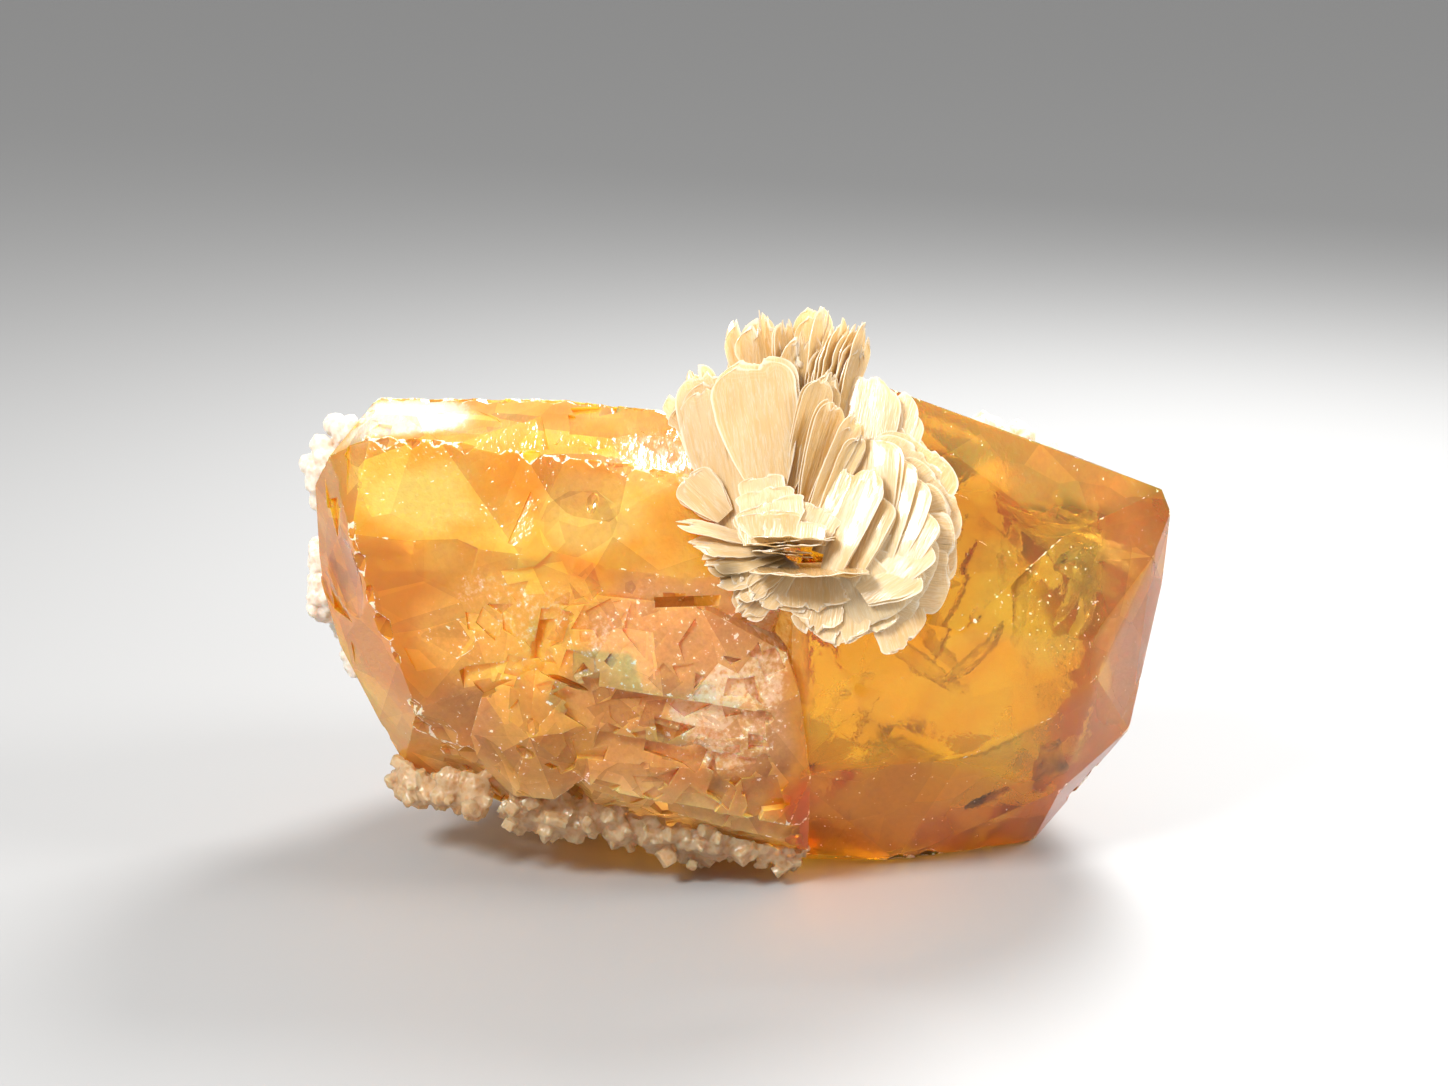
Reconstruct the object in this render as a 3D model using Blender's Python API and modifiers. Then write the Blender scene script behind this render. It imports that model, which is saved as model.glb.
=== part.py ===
"""Scheelite with muscovite: an orange scheelite specimen with a rosette of white mica.

Two scheelite crystals have grown into each other and make one long block. A rosette of
muscovite books sits over their seam, and a white knobbly crust clings to the left end, the
lower front edge and the back. The specimen rests on a natural flat face of the scheelite.

Frame: X runs along the block, Y runs from front to back, Z is up. The origin is the middle of
the specimen's footprint, on the surface it stands on. Corner lists are in millimetres.
"""
import math
import random

import bmesh
import bpy
from mathutils import Vector

SPECIMEN = "scheelite_with_muscovite"
MM = 0.001                      # metres in one millimetre

# Driving dimensions, in millimetres
FRAME_SHIFT = (0.3, 1.1, 0.0)   # brings the corner lists to the middle of the footprint
GAP = 0.3                       # air between pieces that touch in the real specimen
ENVELOPE = 0.48                 # how far the crystals' corners move out to clear the gap
BOOK = 0.5                      # thickness of one muscovite book
HUB = (4.5, -13.6, 26.0)        # where the muscovite books meet
HUB_TILT = math.radians(15.0)   # the rosette faces forward and this much up
SLIVER = 0.004                  # edges shorter than this are closed up after a cut

# Chips along the worn edges
CHIP_STEP = 2.1                 # distance from chip to chip
CHIP_SIZES = (0.7, 1.2)         # smallest and largest, as a share of the edge's chip size
CHIP_OUT = (0.45, 0.75)         # how far a chip's middle lies outside the edge, in its radii
CHIP_AIM = (0.0, 0.0, 15.0)     # the chips lie on the side away from this point

# The outline of a muscovite book. Widths and lengths are shares of the book's own.
ROOT_WIDTH = 0.42               # at the root
BROAD_FROM = 0.55               # where it reaches its full width
TIP_FROM = 0.6                  # where the round tip starts
TIP_OVER = 0.42                 # how long the round tip is
TIP_POWER = 2.4                 # how square the round tip is: 2 is a circle
RAG = 0.05                      # unevenness of the side edges
BOOK_WIDTHS = (0.9, 1.08)       # narrowest and widest book of a fan

# Crust knobs. Sizes are shares of the knob's radius.
KNOB_STEP = 1.0                 # distance between neighbouring knobs
KNOB_SWAY = 0.3                 # how far a knob may sit from its line, in millimetres
KNOB_SHAPES = (0.8, 1.2)        # least and most stretch along each axis
BUD_SIZES = (0.4, 0.6)          # the small bud beside each knob
BUD_OUT = 0.8                   # how far the bud's middle lies from the knob's


# The scheelite, as the corners of four grown-together crystals

LEFT_CRYSTAL = [
    # the rim along the top, from the left end to the rosette
    (-24.6, -3.0, 32.6), (-12.2, -2.5, 32.4), (-2.3, -3.0, 31.4), (7.0, -3.0, 30.0),
    # the front end of the top face
    (-24.7, -10.0, 31.3), (-19.6, -11.3, 31.4), (-11.1, -12.4, 30.6), (-2.8, -12.8, 29.4),
    # the left end
    (-27.6, -7.0, 29.4), (-29.0, -4.0, 26.6), (-28.8, -4.0, 19.6), (-27.6, -4.0, 15.0),
    (-24.9, -5.0, 9.8), (-23.2, -5.0, 6.6),
    # the long edge between the left end and the front
    (-25.7, -12.0, 25.2), (-24.5, -12.4, 20.7), (-22.7, -12.5, 16.4), (-21.6, -11.6, 12.6),
    # the front
    (-14.2, -15.0, 24.6), (-3.0, -15.3, 23.0), (4.2, -14.2, 23.4), (-15.6, -14.5, 15.8),
    (-6.0, -15.0, 15.7),
    # the lower edge
    (-17.5, -10.0, 8.4), (-14.9, -7.0, 3.8), (-9.3, -8.0, 2.6), (-3.0, -8.5, 1.4),
    # the foot
    (-2.0, -4.5, 0.0), (-13.0, 4.0, 0.0), (-8.0, 10.0, 0.0), (4.0, 9.0, 0.0),
    # the back
    (-25.0, 5.0, 29.0), (-27.6, 4.5, 22.5), (-26.6, 7.0, 15.5), (-21.0, 8.0, 6.0),
    (-14.0, 12.5, 27.0), (-13.5, 15.5, 17.0), (-12.0, 13.5, 7.0), (3.0, 13.5, 25.0),
    (2.0, 15.5, 13.0),
]

RIGHT_CRYSTAL = [
    # the rim along the top, from behind the rosette to the right end
    (-1.0, -4.0, 30.6), (8.1, -2.5, 34.2), (24.8, -1.0, 27.7), (27.9, -1.4, 26.4),
    (30.2, -1.6, 25.7), (30.8, -2.2, 24.2),
    # the long edge that runs down the front
    (22.5, -9.5, 24.3), (20.2, -12.0, 23.0), (15.3, -14.6, 19.2),
    # the facet at the front right
    (29.3, -5.0, 21.7), (24.8, -8.5, 22.1), (21.6, -11.2, 20.1), (24.4, -10.8, 17.3),
    (25.0, -10.4, 14.6),
    # the right end
    (30.4, -2.0, 19.0), (29.2, -3.0, 13.8), (28.2, -3.5, 8.6),
    # the edge over the dark lower faces
    (8.6, -15.4, 14.2), (11.6, -15.0, 12.4), (15.7, -13.8, 9.9), (22.0, -11.8, 12.2),
    (22.9, -8.6, 5.8), (24.1, -4.0, 4.0),
    # the lower edge
    (21.6, -3.4, 0.2), (17.6, -4.6, 0.0), (15.1, -6.4, 0.8), (11.5, -8.0, 0.4),
    (5.4, -8.6, 1.1),
    # the foot
    (4.0, -6.6, 0.0), (19.6, 2.0, 0.0), (15.0, 8.0, 0.0), (2.0, 9.0, 0.0),
    # the back
    (7.0, 8.5, 30.0), (19.5, 7.5, 26.0), (26.8, 6.2, 21.0), (27.4, 6.0, 13.5),
    (23.4, 8.0, 5.5), (6.0, 15.0, 21.0), (5.5, 14.5, 8.0), (17.0, 12.5, 17.5),
    (16.5, 12.0, 7.0),
    # the seam with the left crystal
    (4.0, -14.8, 21.5), (4.0, -14.6, 9.0),
]

LOWER_BLOCK = [
    (-11.5, -14.8, 22.0), (-2.2, -16.4, 21.4), (3.6, -15.6, 17.9), (4.5, -16.2, 15.2),
    (-10.2, -16.6, 16.3), (1.8, -17.4, 14.4), (5.3, -15.0, 9.0), (5.2, -12.6, 2.8),
    (-15.8, -12.8, 13.8), (-9.6, -15.2, 8.4), (-2.2, -15.0, 6.4), (3.8, -14.6, 5.2),
    (-9.3, -7.6, 3.0), (3.8, -7.2, 1.4), (-12.0, -4.0, 18.0), (4.0, -4.0, 18.0),
]

ROUND_BLOCK = [
    (-17.9, -12.2, 11.0), (-16.9, -14.0, 14.6), (-13.2, -15.8, 16.9), (-10.5, -16.4, 16.0),
    (-8.9, -16.2, 12.8), (-10.1, -15.0, 8.8), (-12.2, -12.8, 6.6), (-15.3, -11.6, 6.4),
    (-17.6, -11.0, 8.4), (-13.6, -16.8, 12.4), (-14.0, -5.0, 12.0), (-11.0, -5.0, 10.0),
]

BACK_BLOCK = [
    (-6.0, 12.6, 27.2), (5.0, 11.0, 28.4), (8.2, 14.6, 20.0), (7.2, 15.4, 10.0), (2.0, 12.6, 3.0),
    (-6.4, 14.0, 5.0), (-8.0, 16.2, 12.0), (-7.4, 16.6, 20.6), (1.2, 17.8, 15.0), (0.2, 17.2, 21.6),
    (0.0, 6.0, 16.0),
]

BACK_SLAB = [
    (-23.4, 9.4, 21.6), (-17.0, 14.6, 24.0), (-9.0, 15.4, 23.6), (-9.4, 17.2, 12.4),
    (-17.6, 16.0, 9.4), (-23.6, 10.0, 10.8), (-14.0, 17.4, 17.6), (-16.0, 6.0, 16.0),
]

# Growth steps: both ends of the step's edge, how deep it is cut and how high, and how far the
# face below it leans back. The last number is the side it is on: -1 in front, 1 at the back.
GROWTH_STEPS = [
    ((-10.9, -16.7, 16.2), (2.2, -17.5, 14.3), 1.0, 3.0, 0.5, -1),
    ((-9.6, -16.3, 12.7), (1.6, -17.0, 10.7), 1.0, 3.6, 0.5, -1),
    ((-10.4, -15.3, 8.4), (4.6, -15.0, 5.2), 1.5, 3.0, 1.6, -1),
    ((-23.0, 15.6, 20.4), (-8.6, 16.8, 20.6), 1.6, 2.6, 0.0, 1),
    ((-20.0, 16.8, 15.2), (-8.0, 17.8, 14.6), 1.6, 3.0, 0.0, 1),
    ((-7.0, 17.2, 18.0), (7.0, 16.6, 17.4), 1.3, 3.0, 0.0, 1),
    ((-6.0, 16.4, 11.0), (6.4, 16.0, 10.0), 1.4, 3.2, 0.4, 1),
]

# Worn edges: the corners the edge passes through and the size of its chips
WORN_EDGES = [
    ([(-25.7, -12.0, 25.2), (-24.5, -12.4, 20.7), (-22.7, -12.5, 16.4), (-21.6, -11.6, 12.6)], 1.3),
    ([(-21.6, -11.6, 12.6), (-20.6, -9.0, 8.6), (-17.5, -10.0, 8.4)], 1.6),
    ([(-24.7, -10.0, 31.3), (-19.6, -11.3, 31.4), (-11.1, -12.4, 30.6), (-5.0, -12.7, 29.7)], 0.9),
    ([(-24.6, -3.0, 32.6), (-12.2, -2.5, 32.4), (-2.3, -3.0, 31.4)], 1.1),
    ([(11.5, -8.0, 0.4), (15.1, -6.4, 0.8), (17.6, -4.6, 0.0)], 1.0),
    ([(28.2, -3.5, 8.6), (24.1, -4.0, 4.0), (21.6, -3.4, 0.2)], 0.8),
    ([(-27.6, 4.5, 22.5), (-26.6, 7.0, 15.5), (-21.0, 8.0, 6.0)], 1.6),
    ([(-14.0, 12.5, 27.0), (3.0, 13.5, 25.0), (7.0, 8.5, 30.0)], 1.6),
]

# Shell-shaped breaks: a point on the face, the way the face looks, its radius and its depth
BREAKS = [
    ((-19.0, -13.6, 19.0), (-0.3, -1.0, -0.1), 7.0, 0.35),
    ((-9.0, -14.6, 27.0), (0.1, -1.0, 0.5), 8.0, 0.35),
    ((-20.0, -11.0, 10.6), (-0.5, -0.8, -0.6), 4.0, 0.8),
    ((14.0, -13.4, 15.6), (0.3, -1.0, 0.0), 7.0, 0.35),
    ((26.4, -7.4, 12.0), (0.7, -0.7, -0.3), 5.0, 0.5),
    ((-20.0, 9.6, 27.6), (-0.3, 0.8, 0.5), 6.0, 0.9),
    ((-23.0, 8.6, 8.0), (-0.5, 0.7, -0.4), 5.0, 0.9),
    ((-2.0, 8.6, 30.2), (0.0, 0.6, 0.8), 7.0, 0.8),
    ((13.0, 13.0, 18.6), (0.2, 1.0, 0.2), 7.0, 0.9),
    ((11.0, 13.6, 8.0), (0.1, 1.0, -0.2), 6.0, 0.9),
    ((22.0, 10.0, 11.0), (0.6, 0.8, -0.2), 5.0, 0.9),
]


# The muscovite: fans of books that sweep from a first to a last book. Points are millimetres
# right of, above and in front of the hub. A book has its root, the point it aims at, its width,
# the way its flat looks and how deep it is cupped. Its length is in the fan's list.

LEFT_LEAVES = [
    {"lengths": (12.0, 11.6, 10.0), "cells": (4, 3),
     "first": ((-2.4, -0.2, 0.5), (-4.4, 11.9, -0.6), 7.4, (-0.1, 0.1, 1.0), 0.7),
     "last": ((-3.4, 0.4, -0.5), (-6.9, 9.6, -1.7), 4.8, (-0.3, 0.1, 1.0), 0.5)},
    {"lengths": (5.2,), "cells": (3, 3),
     "first": ((-3.2, 0.8, 0.1), (-8.1, 3.2, -0.5), 3.4, (-0.3, 0.2, 1.0), 0.3),
     "last": ((-3.2, 0.8, 0.1), (-8.1, 3.2, -0.5), 3.4, (-0.3, 0.2, 1.0), 0.3)},
    {"lengths": (6.0, 5.8, 6.2), "cells": (3, 3),
     "first": ((-2.0, 0.2, 0.4), (-7.8, -1.1, 0.0), 3.0, (-0.3, 0.4, 1.0), 0.3),
     "last": ((-1.8, -0.4, 0.4), (-4.4, -5.8, 0.6), 3.6, (-0.4, 0.2, 1.0), 0.4)},
]

CENTER_BOOK = [
    {"lengths": (5.0, 5.6, 6.2, 6.4, 6.8), "cells": (3, 2),
     "first": ((-0.4, 1.0, -0.9), (-2.6, 3.6, 4.0), 5.0, (0.1, 1.0, -0.2), 0.25),
     "last": ((-0.1, -0.2, -0.9), (-1.4, -1.0, 5.2), 6.8, (-0.05, 1.0, 0.0), 0.3)},
    {"lengths": (6.8,), "cells": (4, 4),
     "first": ((0.0, -0.5, -0.6), (0.6, -3.1, 5.2), 7.8, (0.0, 1.0, 0.4), 0.3),
     "last": ((0.0, -0.5, -0.6), (0.6, -3.1, 5.2), 7.8, (0.0, 1.0, 0.4), 0.3)},
]

UPRIGHT_FAN = [
    {"lengths": (11.9, 11.8), "cells": (3, 2),
     "first": ((-0.6, 2.2, -1.0), (-3.5, 14.5, -1.9), 4.8, (0.45, 0.2, 0.9), 0.3),
     "last": ((-0.3, 2.2, -0.9), (-1.2, 14.0, -1.2), 3.8, (0.75, 0.0, 0.65), 0.2)},
    {"lengths": (13.0,), "cells": (3, 2),
     "first": ((0.1, 2.2, -1.2), (0.8, 15.6, -2.2), 4.6, (0.65, 0.0, 0.75), 0.3),
     "last": ((0.1, 2.2, -1.2), (0.8, 15.6, -2.2), 4.6, (0.65, 0.0, 0.75), 0.3)},
    {"lengths": (12.3, 12.6, 12.4, 11.9, 11.6), "cells": (3, 2),
     "first": ((0.1, 2.2, -0.7), (1.7, 14.7, -1.4), 5.4, (1.0, -0.1, 0.2), 0.2),
     "last": ((1.2, 2.0, -0.6), (4.3, 13.4, -2.0), 5.0, (1.0, -0.3, 0.1), 0.2)},
    {"lengths": (7.8, 7.4, 7.2), "cells": (3, 2),
     "first": ((0.4, 1.4, 0.4), (2.4, 8.9, 0.8), 3.2, (0.9, -0.3, 0.35), 0.2),
     "last": ((1.0, 1.0, 0.6), (4.2, 7.4, 0.9), 3.2, (0.8, -0.6, 0.35), 0.2)},
]

RIGHT_PETALS = [
    {"lengths": (11.8, 11.0, 10.0, 9.2, 8.4, 7.9, 7.7), "cells": (4, 3),
     "first": ((1.6, -0.8, -0.6), (4.9, 10.6, -3.0), 6.6, (-0.35, 0.1, 1.0), -0.8),
     "last": ((2.6, -1.8, 0.6), (8.2, -7.2, 0.2), 7.2, (0.1, -0.2, 1.0), -0.8)},
    {"lengths": (7.8, 7.4), "cells": (4, 3),
     "first": ((1.6, -2.2, 1.2), (4.9, 4.4, 2.3), 4.4, (-0.55, 0.25, 0.8), -0.5),
     "last": ((2.4, -2.0, 0.8), (7.6, 3.6, 1.4), 5.6, (-0.4, 0.15, 0.9), -0.6)},
]

LOWER_SKIRT = [
    {"lengths": (4.2, 5.0, 5.2, 6.0), "cells": (3, 3),
     "first": ((0.4, -2.6, 0.2), (-0.8, -6.2, 0.6), 3.8, (-0.1, -0.3, 1.0), 0.3),
     "last": ((2.4, -2.8, 0.0), (6.4, -7.6, 0.4), 4.6, (0.2, -0.2, 1.0), 0.3)},
]

# White crust: the lines each patch follows and the smallest and largest radius of its knobs
LEFT_UPPER_CRUST = [
    ([(-27.4, 4.2, 28.4), (-28.9, 3.4, 26.8), (-29.4, 3.2, 25.2), (-29.1, 3.8, 23.8)], (1.4, 1.8)),
    ([(-27.6, 6.2, 27.2), (-28.2, 5.8, 25.2)], (1.4, 1.8)),
]
LEFT_LOWER_CRUST = [
    ([(-29.1, 2.4, 19.4), (-29.4, 2.2, 18.0), (-29.0, 2.2, 16.4)], (1.4, 1.7)),
    ([(-28.6, 4.4, 19.2), (-28.6, 4.4, 16.8), (-28.0, 4.0, 14.4), (-27.0, 4.4, 12.0)], (1.4, 1.8)),
]
LOWER_LEFT_CRUST = [
    ([(-22.6, -5.6, 5.4), (-21.0, -6.6, 5.2), (-19.2, -8.0, 5.8), (-17.8, -9.2, 6.0)], (1.4, 1.8)),
]
LOWER_FRONT_CRUST = [
    ([(-14.2, -9.8, 4.7), (-11.6, -10.6, 4.5), (-7.6, -11.2, 4.1), (-3.6, -11.6, 3.6),
      (0.4, -11.6, 3.1), (4.0, -11.2, 2.7)], (1.4, 1.8)),
    ([(-3.0, -10.2, 2.4), (-1.8, -10.4, 2.2)], (1.2, 1.4)),
]
BACK_CRUST = [
    ([(18.2, 8.2, 27.0), (20.6, 7.8, 26.6), (23.4, 7.2, 25.4), (25.6, 6.8, 23.8)], (1.7, 2.1)),
    ([(18.8, 9.8, 24.6), (21.8, 9.2, 23.6), (24.6, 8.4, 22.0)], (2.0, 2.4)),
    ([(20.8, 10.6, 21.8), (23.6, 9.2, 20.2)], (1.7, 2.1)),
]

FINISHES = {
    "scheelite": {"color": (0.86, 0.42, 0.07), "roughness": 0.18},
    "muscovite": {"color": (0.84, 0.78, 0.58), "roughness": 0.34},
    "crust": {"color": (0.86, 0.80, 0.72), "roughness": 0.45},
}


def finish(name):
    """Return the material of one finish, made the first time it is asked for."""
    found = bpy.data.materials.get(name)
    if found:
        return found
    material = bpy.data.materials.new(name)
    material.use_nodes = True
    shader = material.node_tree.nodes["Principled BSDF"]
    shader.inputs["Base Color"].default_value = (*FINISHES[name]["color"], 1.0)
    shader.inputs["Roughness"].default_value = FINISHES[name]["roughness"]
    shader.inputs["Metallic"].default_value = 0.0
    return material


def collection(name):
    """Return a new collection in the scene."""
    made = bpy.data.collections.new(name)
    bpy.context.scene.collection.children.link(made)
    return made


def object_from(bm, name, home):
    """Turn a bmesh into an object of a collection and free the bmesh."""
    bmesh.ops.recalc_face_normals(bm, faces=bm.faces)
    mesh = bpy.data.meshes.new(name)
    bm.to_mesh(mesh)
    bm.free()
    made = bpy.data.objects.new(name, mesh)
    home.objects.link(made)
    return made


def place(point):
    """Turn a point of the corner lists into metres in the specimen's frame."""
    return (Vector(point) + Vector(FRAME_SHIFT)) * MM


def hull(name, corners, home, grow=0.0):
    """A crystal: the closed faceted solid around its corners, or one that is larger by grow."""
    points = [Vector(corner) for corner in corners]
    middle = sum(points, Vector()) / len(points)
    bm = bmesh.new()
    for point in points:
        bm.verts.new(place(point + (point - middle).normalized() * grow))
    found = bmesh.ops.convex_hull(bm, input=bm.verts)
    loose = {v for v in found["geom_interior"] + found["geom_unused"]
             if isinstance(v, bmesh.types.BMVert)}
    bmesh.ops.delete(bm, geom=list(loose), context="VERTS")
    return object_from(bm, name, home)


def evaluated(piece):
    """Apply a piece's modifiers, so that its mesh is what the viewport shows."""
    mesh = bpy.data.meshes.new_from_object(piece.evaluated_get(bpy.context.evaluated_depsgraph_get()))
    piece.modifiers.clear()
    piece.data = mesh


def combine(piece, others, operation, home):
    """Join others to a piece or cut them from it in one step, and remove them."""
    if not others:
        return
    tools = bpy.data.collections.new("tools")
    home.children.link(tools)
    for other in others:
        for old in list(other.users_collection):
            old.objects.unlink(other)
        tools.objects.link(other)
    step = piece.modifiers.new(operation.lower(), "BOOLEAN")
    step.operation = operation
    step.solver = "EXACT"
    step.operand_type = "COLLECTION"
    step.collection = tools
    evaluated(piece)
    for other in others:
        bpy.data.objects.remove(other)
    bpy.data.collections.remove(tools)


def close_slivers(piece):
    """Close up the slivers that a cut leaves on thin sheets and small knobs."""
    bm = bmesh.new()
    bm.from_mesh(piece.data)
    bmesh.ops.dissolve_degenerate(bm, dist=SLIVER * MM, edges=bm.edges)
    bm.to_mesh(piece.data)
    bm.free()


def keep_largest_body(piece):
    """Drop the loose bits that a cut leaves beside the piece."""
    bm = bmesh.new()
    bm.from_mesh(piece.data)
    bodies = []
    left = set(bm.faces)
    while left:
        front = [left.pop()]
        body = set(front)
        while front:
            for edge in front.pop().edges:
                for face in edge.link_faces:
                    if len(edge.link_faces) == 2 and face in left:
                        left.remove(face)
                        body.add(face)
                        front.append(face)
        bodies.append(body)
    bodies.sort(key=lambda body: sum(face.calc_area() for face in body))
    for body in bodies[:-1]:
        bmesh.ops.delete(bm, geom=list(body), context="FACES")
    bm.to_mesh(piece.data)
    bm.free()


def along(line, step):
    """Points at even steps along a line of corners."""
    points = []
    for start, end in zip(line, line[1:]):
        start = Vector(start)
        run = Vector(end) - start
        count = max(1, round(run.length / step))
        points += [start + run * (i / count) for i in range(count)]
    return points + [Vector(line[-1])]


def knob(name, center, radius, home, squash=(1.0, 1.0, 1.0), turn=0.0, rounds=1):
    """A small rounded or chipped lump: a subdivided ball with its own proportions."""
    bm = bmesh.new()
    bmesh.ops.create_icosphere(bm, subdivisions=rounds, radius=radius * MM)
    for vert in bm.verts:
        side = vert.co.x * math.cos(turn) - vert.co.y * math.sin(turn)
        deep = vert.co.x * math.sin(turn) + vert.co.y * math.cos(turn)
        vert.co = Vector((side * squash[0], deep * squash[1], vert.co.z * squash[2])) + place(center)
    return object_from(bm, name, home)


def growth_step(start, end, depth, height, lean, side, home):
    """The space under a growth step: deep below the step's edge, nothing at its lower side."""
    outside = Vector((0.0, 2.0 * side, 0.0))
    corners = []
    for point in (Vector(start), Vector(end)):
        low = point + Vector((0.0, -lean * side, -height))
        corners += [point + outside, point - Vector((0.0, depth * side, 0.0)), low + outside, low]
    return hull("growth_step", corners, home)


def scheelite(home, benches):
    """Both crystals and the lower blocks as one solid, with steps, breaks and worn edges."""
    body = hull("scheelite_crystal", LEFT_CRYSTAL, home)
    parts = [hull("block", corners, benches)
             for corners in (RIGHT_CRYSTAL, LOWER_BLOCK, BACK_BLOCK, BACK_SLAB)]
    combine(body, parts, "UNION", benches)
    combine(body, [growth_step(*step, benches) for step in GROWTH_STEPS], "DIFFERENCE", benches)
    combine(body, [hull("round_block", ROUND_BLOCK, benches)], "UNION", benches)

    draw = random.Random(11)
    bites = []
    for line, size in WORN_EDGES:
        for point in along(line, CHIP_STEP):
            outward = (point - Vector(CHIP_AIM)).normalized()
            radius = size * draw.uniform(*CHIP_SIZES)
            center = point + outward * radius * draw.uniform(*CHIP_OUT)
            bites.append(knob("chip", center, radius, benches, turn=draw.uniform(0.0, 3.0)))
    for point, facing, radius, depth in BREAKS:
        center = Vector(point) + Vector(facing).normalized() * (radius - depth)
        bites.append(knob("break", center, radius, benches, rounds=2, turn=draw.uniform(0.0, 3.0)))
    combine(body, bites, "DIFFERENCE", benches)
    keep_largest_body(body)
    body.data.materials.append(finish("scheelite"))
    return body


def scheelite_envelope(benches):
    """The crystals grown by the gap: the space that the other pieces stay out of."""
    return [hull("envelope", corners, benches, grow=ENVELOPE)
            for corners in (LEFT_CRYSTAL, RIGHT_CRYSTAL, LOWER_BLOCK, ROUND_BLOCK, BACK_BLOCK)]


def from_hub(point):
    """Turn millimetres right of, above and in front of the hub into the corner lists' frame."""
    right, above, front = point
    up = Vector((0.0, math.sin(HUB_TILT), math.cos(HUB_TILT)))
    out = Vector((0.0, -math.cos(HUB_TILT), math.sin(HUB_TILT)))
    return Vector((right, 0.0, 0.0)) + up * above + out * front


def book_outline(reach):
    """Half width of a book at a share of its length: narrow root, broad middle, round tip."""
    opening = ROOT_WIDTH + (1.0 - ROOT_WIDTH) * math.sin(0.5 * math.pi * min(1.0, reach / BROAD_FROM))
    past = max(0.0, (reach - TIP_FROM) / TIP_OVER)
    return 0.5 * opening * math.sqrt(1.0 - past ** TIP_POWER)


def book(name, spec, cells, draw, home, grow=0.0):
    """One muscovite book: a cupped sheet with a rounded tip, given its thickness."""
    root, tip, width, facing, cup = spec
    root = Vector(HUB) + from_hub(root)
    tip = Vector(HUB) + from_hub(tip)
    length = (tip - root).length
    axis = (tip - root).normalized()
    side = axis.cross(from_hub(facing)).normalized()
    normal = side.cross(axis).normalized()
    rows, columns = cells
    rag = [draw.uniform(-RAG, RAG) for _ in range(2 * (rows + 1))]
    bm = bmesh.new()
    bmesh.ops.create_grid(bm, x_segments=columns, y_segments=rows, size=1.0)
    for vert in bm.verts:
        across = vert.co.x
        reach = math.sin(0.25 * math.pi * (vert.co.y + 1.0))
        row = round(0.5 * (vert.co.y + 1.0) * rows)
        half = width * book_outline(reach) * (1.0 + rag[2 * row + (across > 0.0)])
        along_axis = reach * length + grow * (2.0 * reach - 1.0)
        bulge = cup * (across * across - 0.5) + cup * reach * reach
        spot = root + axis * along_axis + side * across * (half + grow) + normal * bulge
        vert.co = place(spot)
    sheet = object_from(bm, name, home)
    wall = sheet.modifiers.new("thickness", "SOLIDIFY")
    wall.thickness = (BOOK + 2.0 * grow) * MM
    wall.offset = 0.0
    evaluated(sheet)
    return sheet


def swept(first, last, share, length):
    """The book at a share of the sweep from a fan's first book to its last."""
    root_a, aim_a, width_a, facing_a, cup_a = first
    root_b, aim_b, width_b, facing_b, cup_b = last
    root = Vector(root_a).lerp(Vector(root_b), share)
    start = (Vector(aim_a) - Vector(root_a)).normalized()
    end = (Vector(aim_b) - Vector(root_b)).normalized()
    tip = root + start.slerp(end, share) * length
    facing = Vector(facing_a).lerp(Vector(facing_b), share)
    return root, tip, width_a + (width_b - width_a) * share, facing, cup_a + (cup_b - cup_a) * share


def fan_books(name, fans, seed, home, grow=0.0):
    """All the books of a muscovite piece, as loose solids."""
    draw = random.Random(seed)
    books = []
    for fan in fans:
        for i, length in enumerate(fan["lengths"]):
            share = i / max(1, len(fan["lengths"]) - 1)
            root, tip, width, facing, cup = swept(fan["first"], fan["last"], share, length)
            spec = (root, tip, width * draw.uniform(*BOOK_WIDTHS), facing, cup)
            books.append(book(name, spec, fan["cells"], draw, home, grow))
    return books


def muscovite(name, fans, seed, home, benches, neighbours):
    """One muscovite piece: its books fused, cut clear of the scheelite and its neighbours."""
    first, *rest = fan_books(name, fans, seed, home)
    combine(first, rest, "UNION", benches)
    keep_out = scheelite_envelope(benches)
    for other_fans, other_seed in neighbours:
        keep_out += fan_books("keep_out", other_fans, other_seed, benches, grow=GAP)
    combine(first, keep_out, "DIFFERENCE", benches)
    close_slivers(first)
    keep_largest_body(first)
    first.name = name
    first.data.materials.append(finish("muscovite"))
    return first


def crust(name, lines, seed, home, benches):
    """One patch of white crust: chipped knobs of uneven size, fused along their lines."""
    draw = random.Random(seed)
    knobs = []
    for line, (small, large) in lines:
        for point in along(line, large * KNOB_STEP):
            radius = draw.uniform(small, large)
            sway = Vector([draw.uniform(-KNOB_SWAY, KNOB_SWAY) for _ in range(3)])
            shape = [draw.uniform(*KNOB_SHAPES) for _ in range(3)]
            knobs.append(knob(name, point + sway, radius, benches, shape, draw.uniform(0.0, 3.0)))
            bud = Vector([draw.uniform(-1.0, 1.0) for _ in range(3)]).normalized() * radius * BUD_OUT
            size = radius * draw.uniform(*BUD_SIZES)
            knobs.append(knob(name, point + sway + bud, size, benches, turn=draw.uniform(0.0, 3.0)))
    first, *rest = knobs
    benches.objects.unlink(first)
    home.objects.link(first)
    combine(first, rest, "UNION", benches)
    combine(first, scheelite_envelope(benches), "DIFFERENCE", benches)
    close_slivers(first)
    keep_largest_body(first)
    first.name = name
    first.data.materials.append(finish("crust"))
    return first


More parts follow.
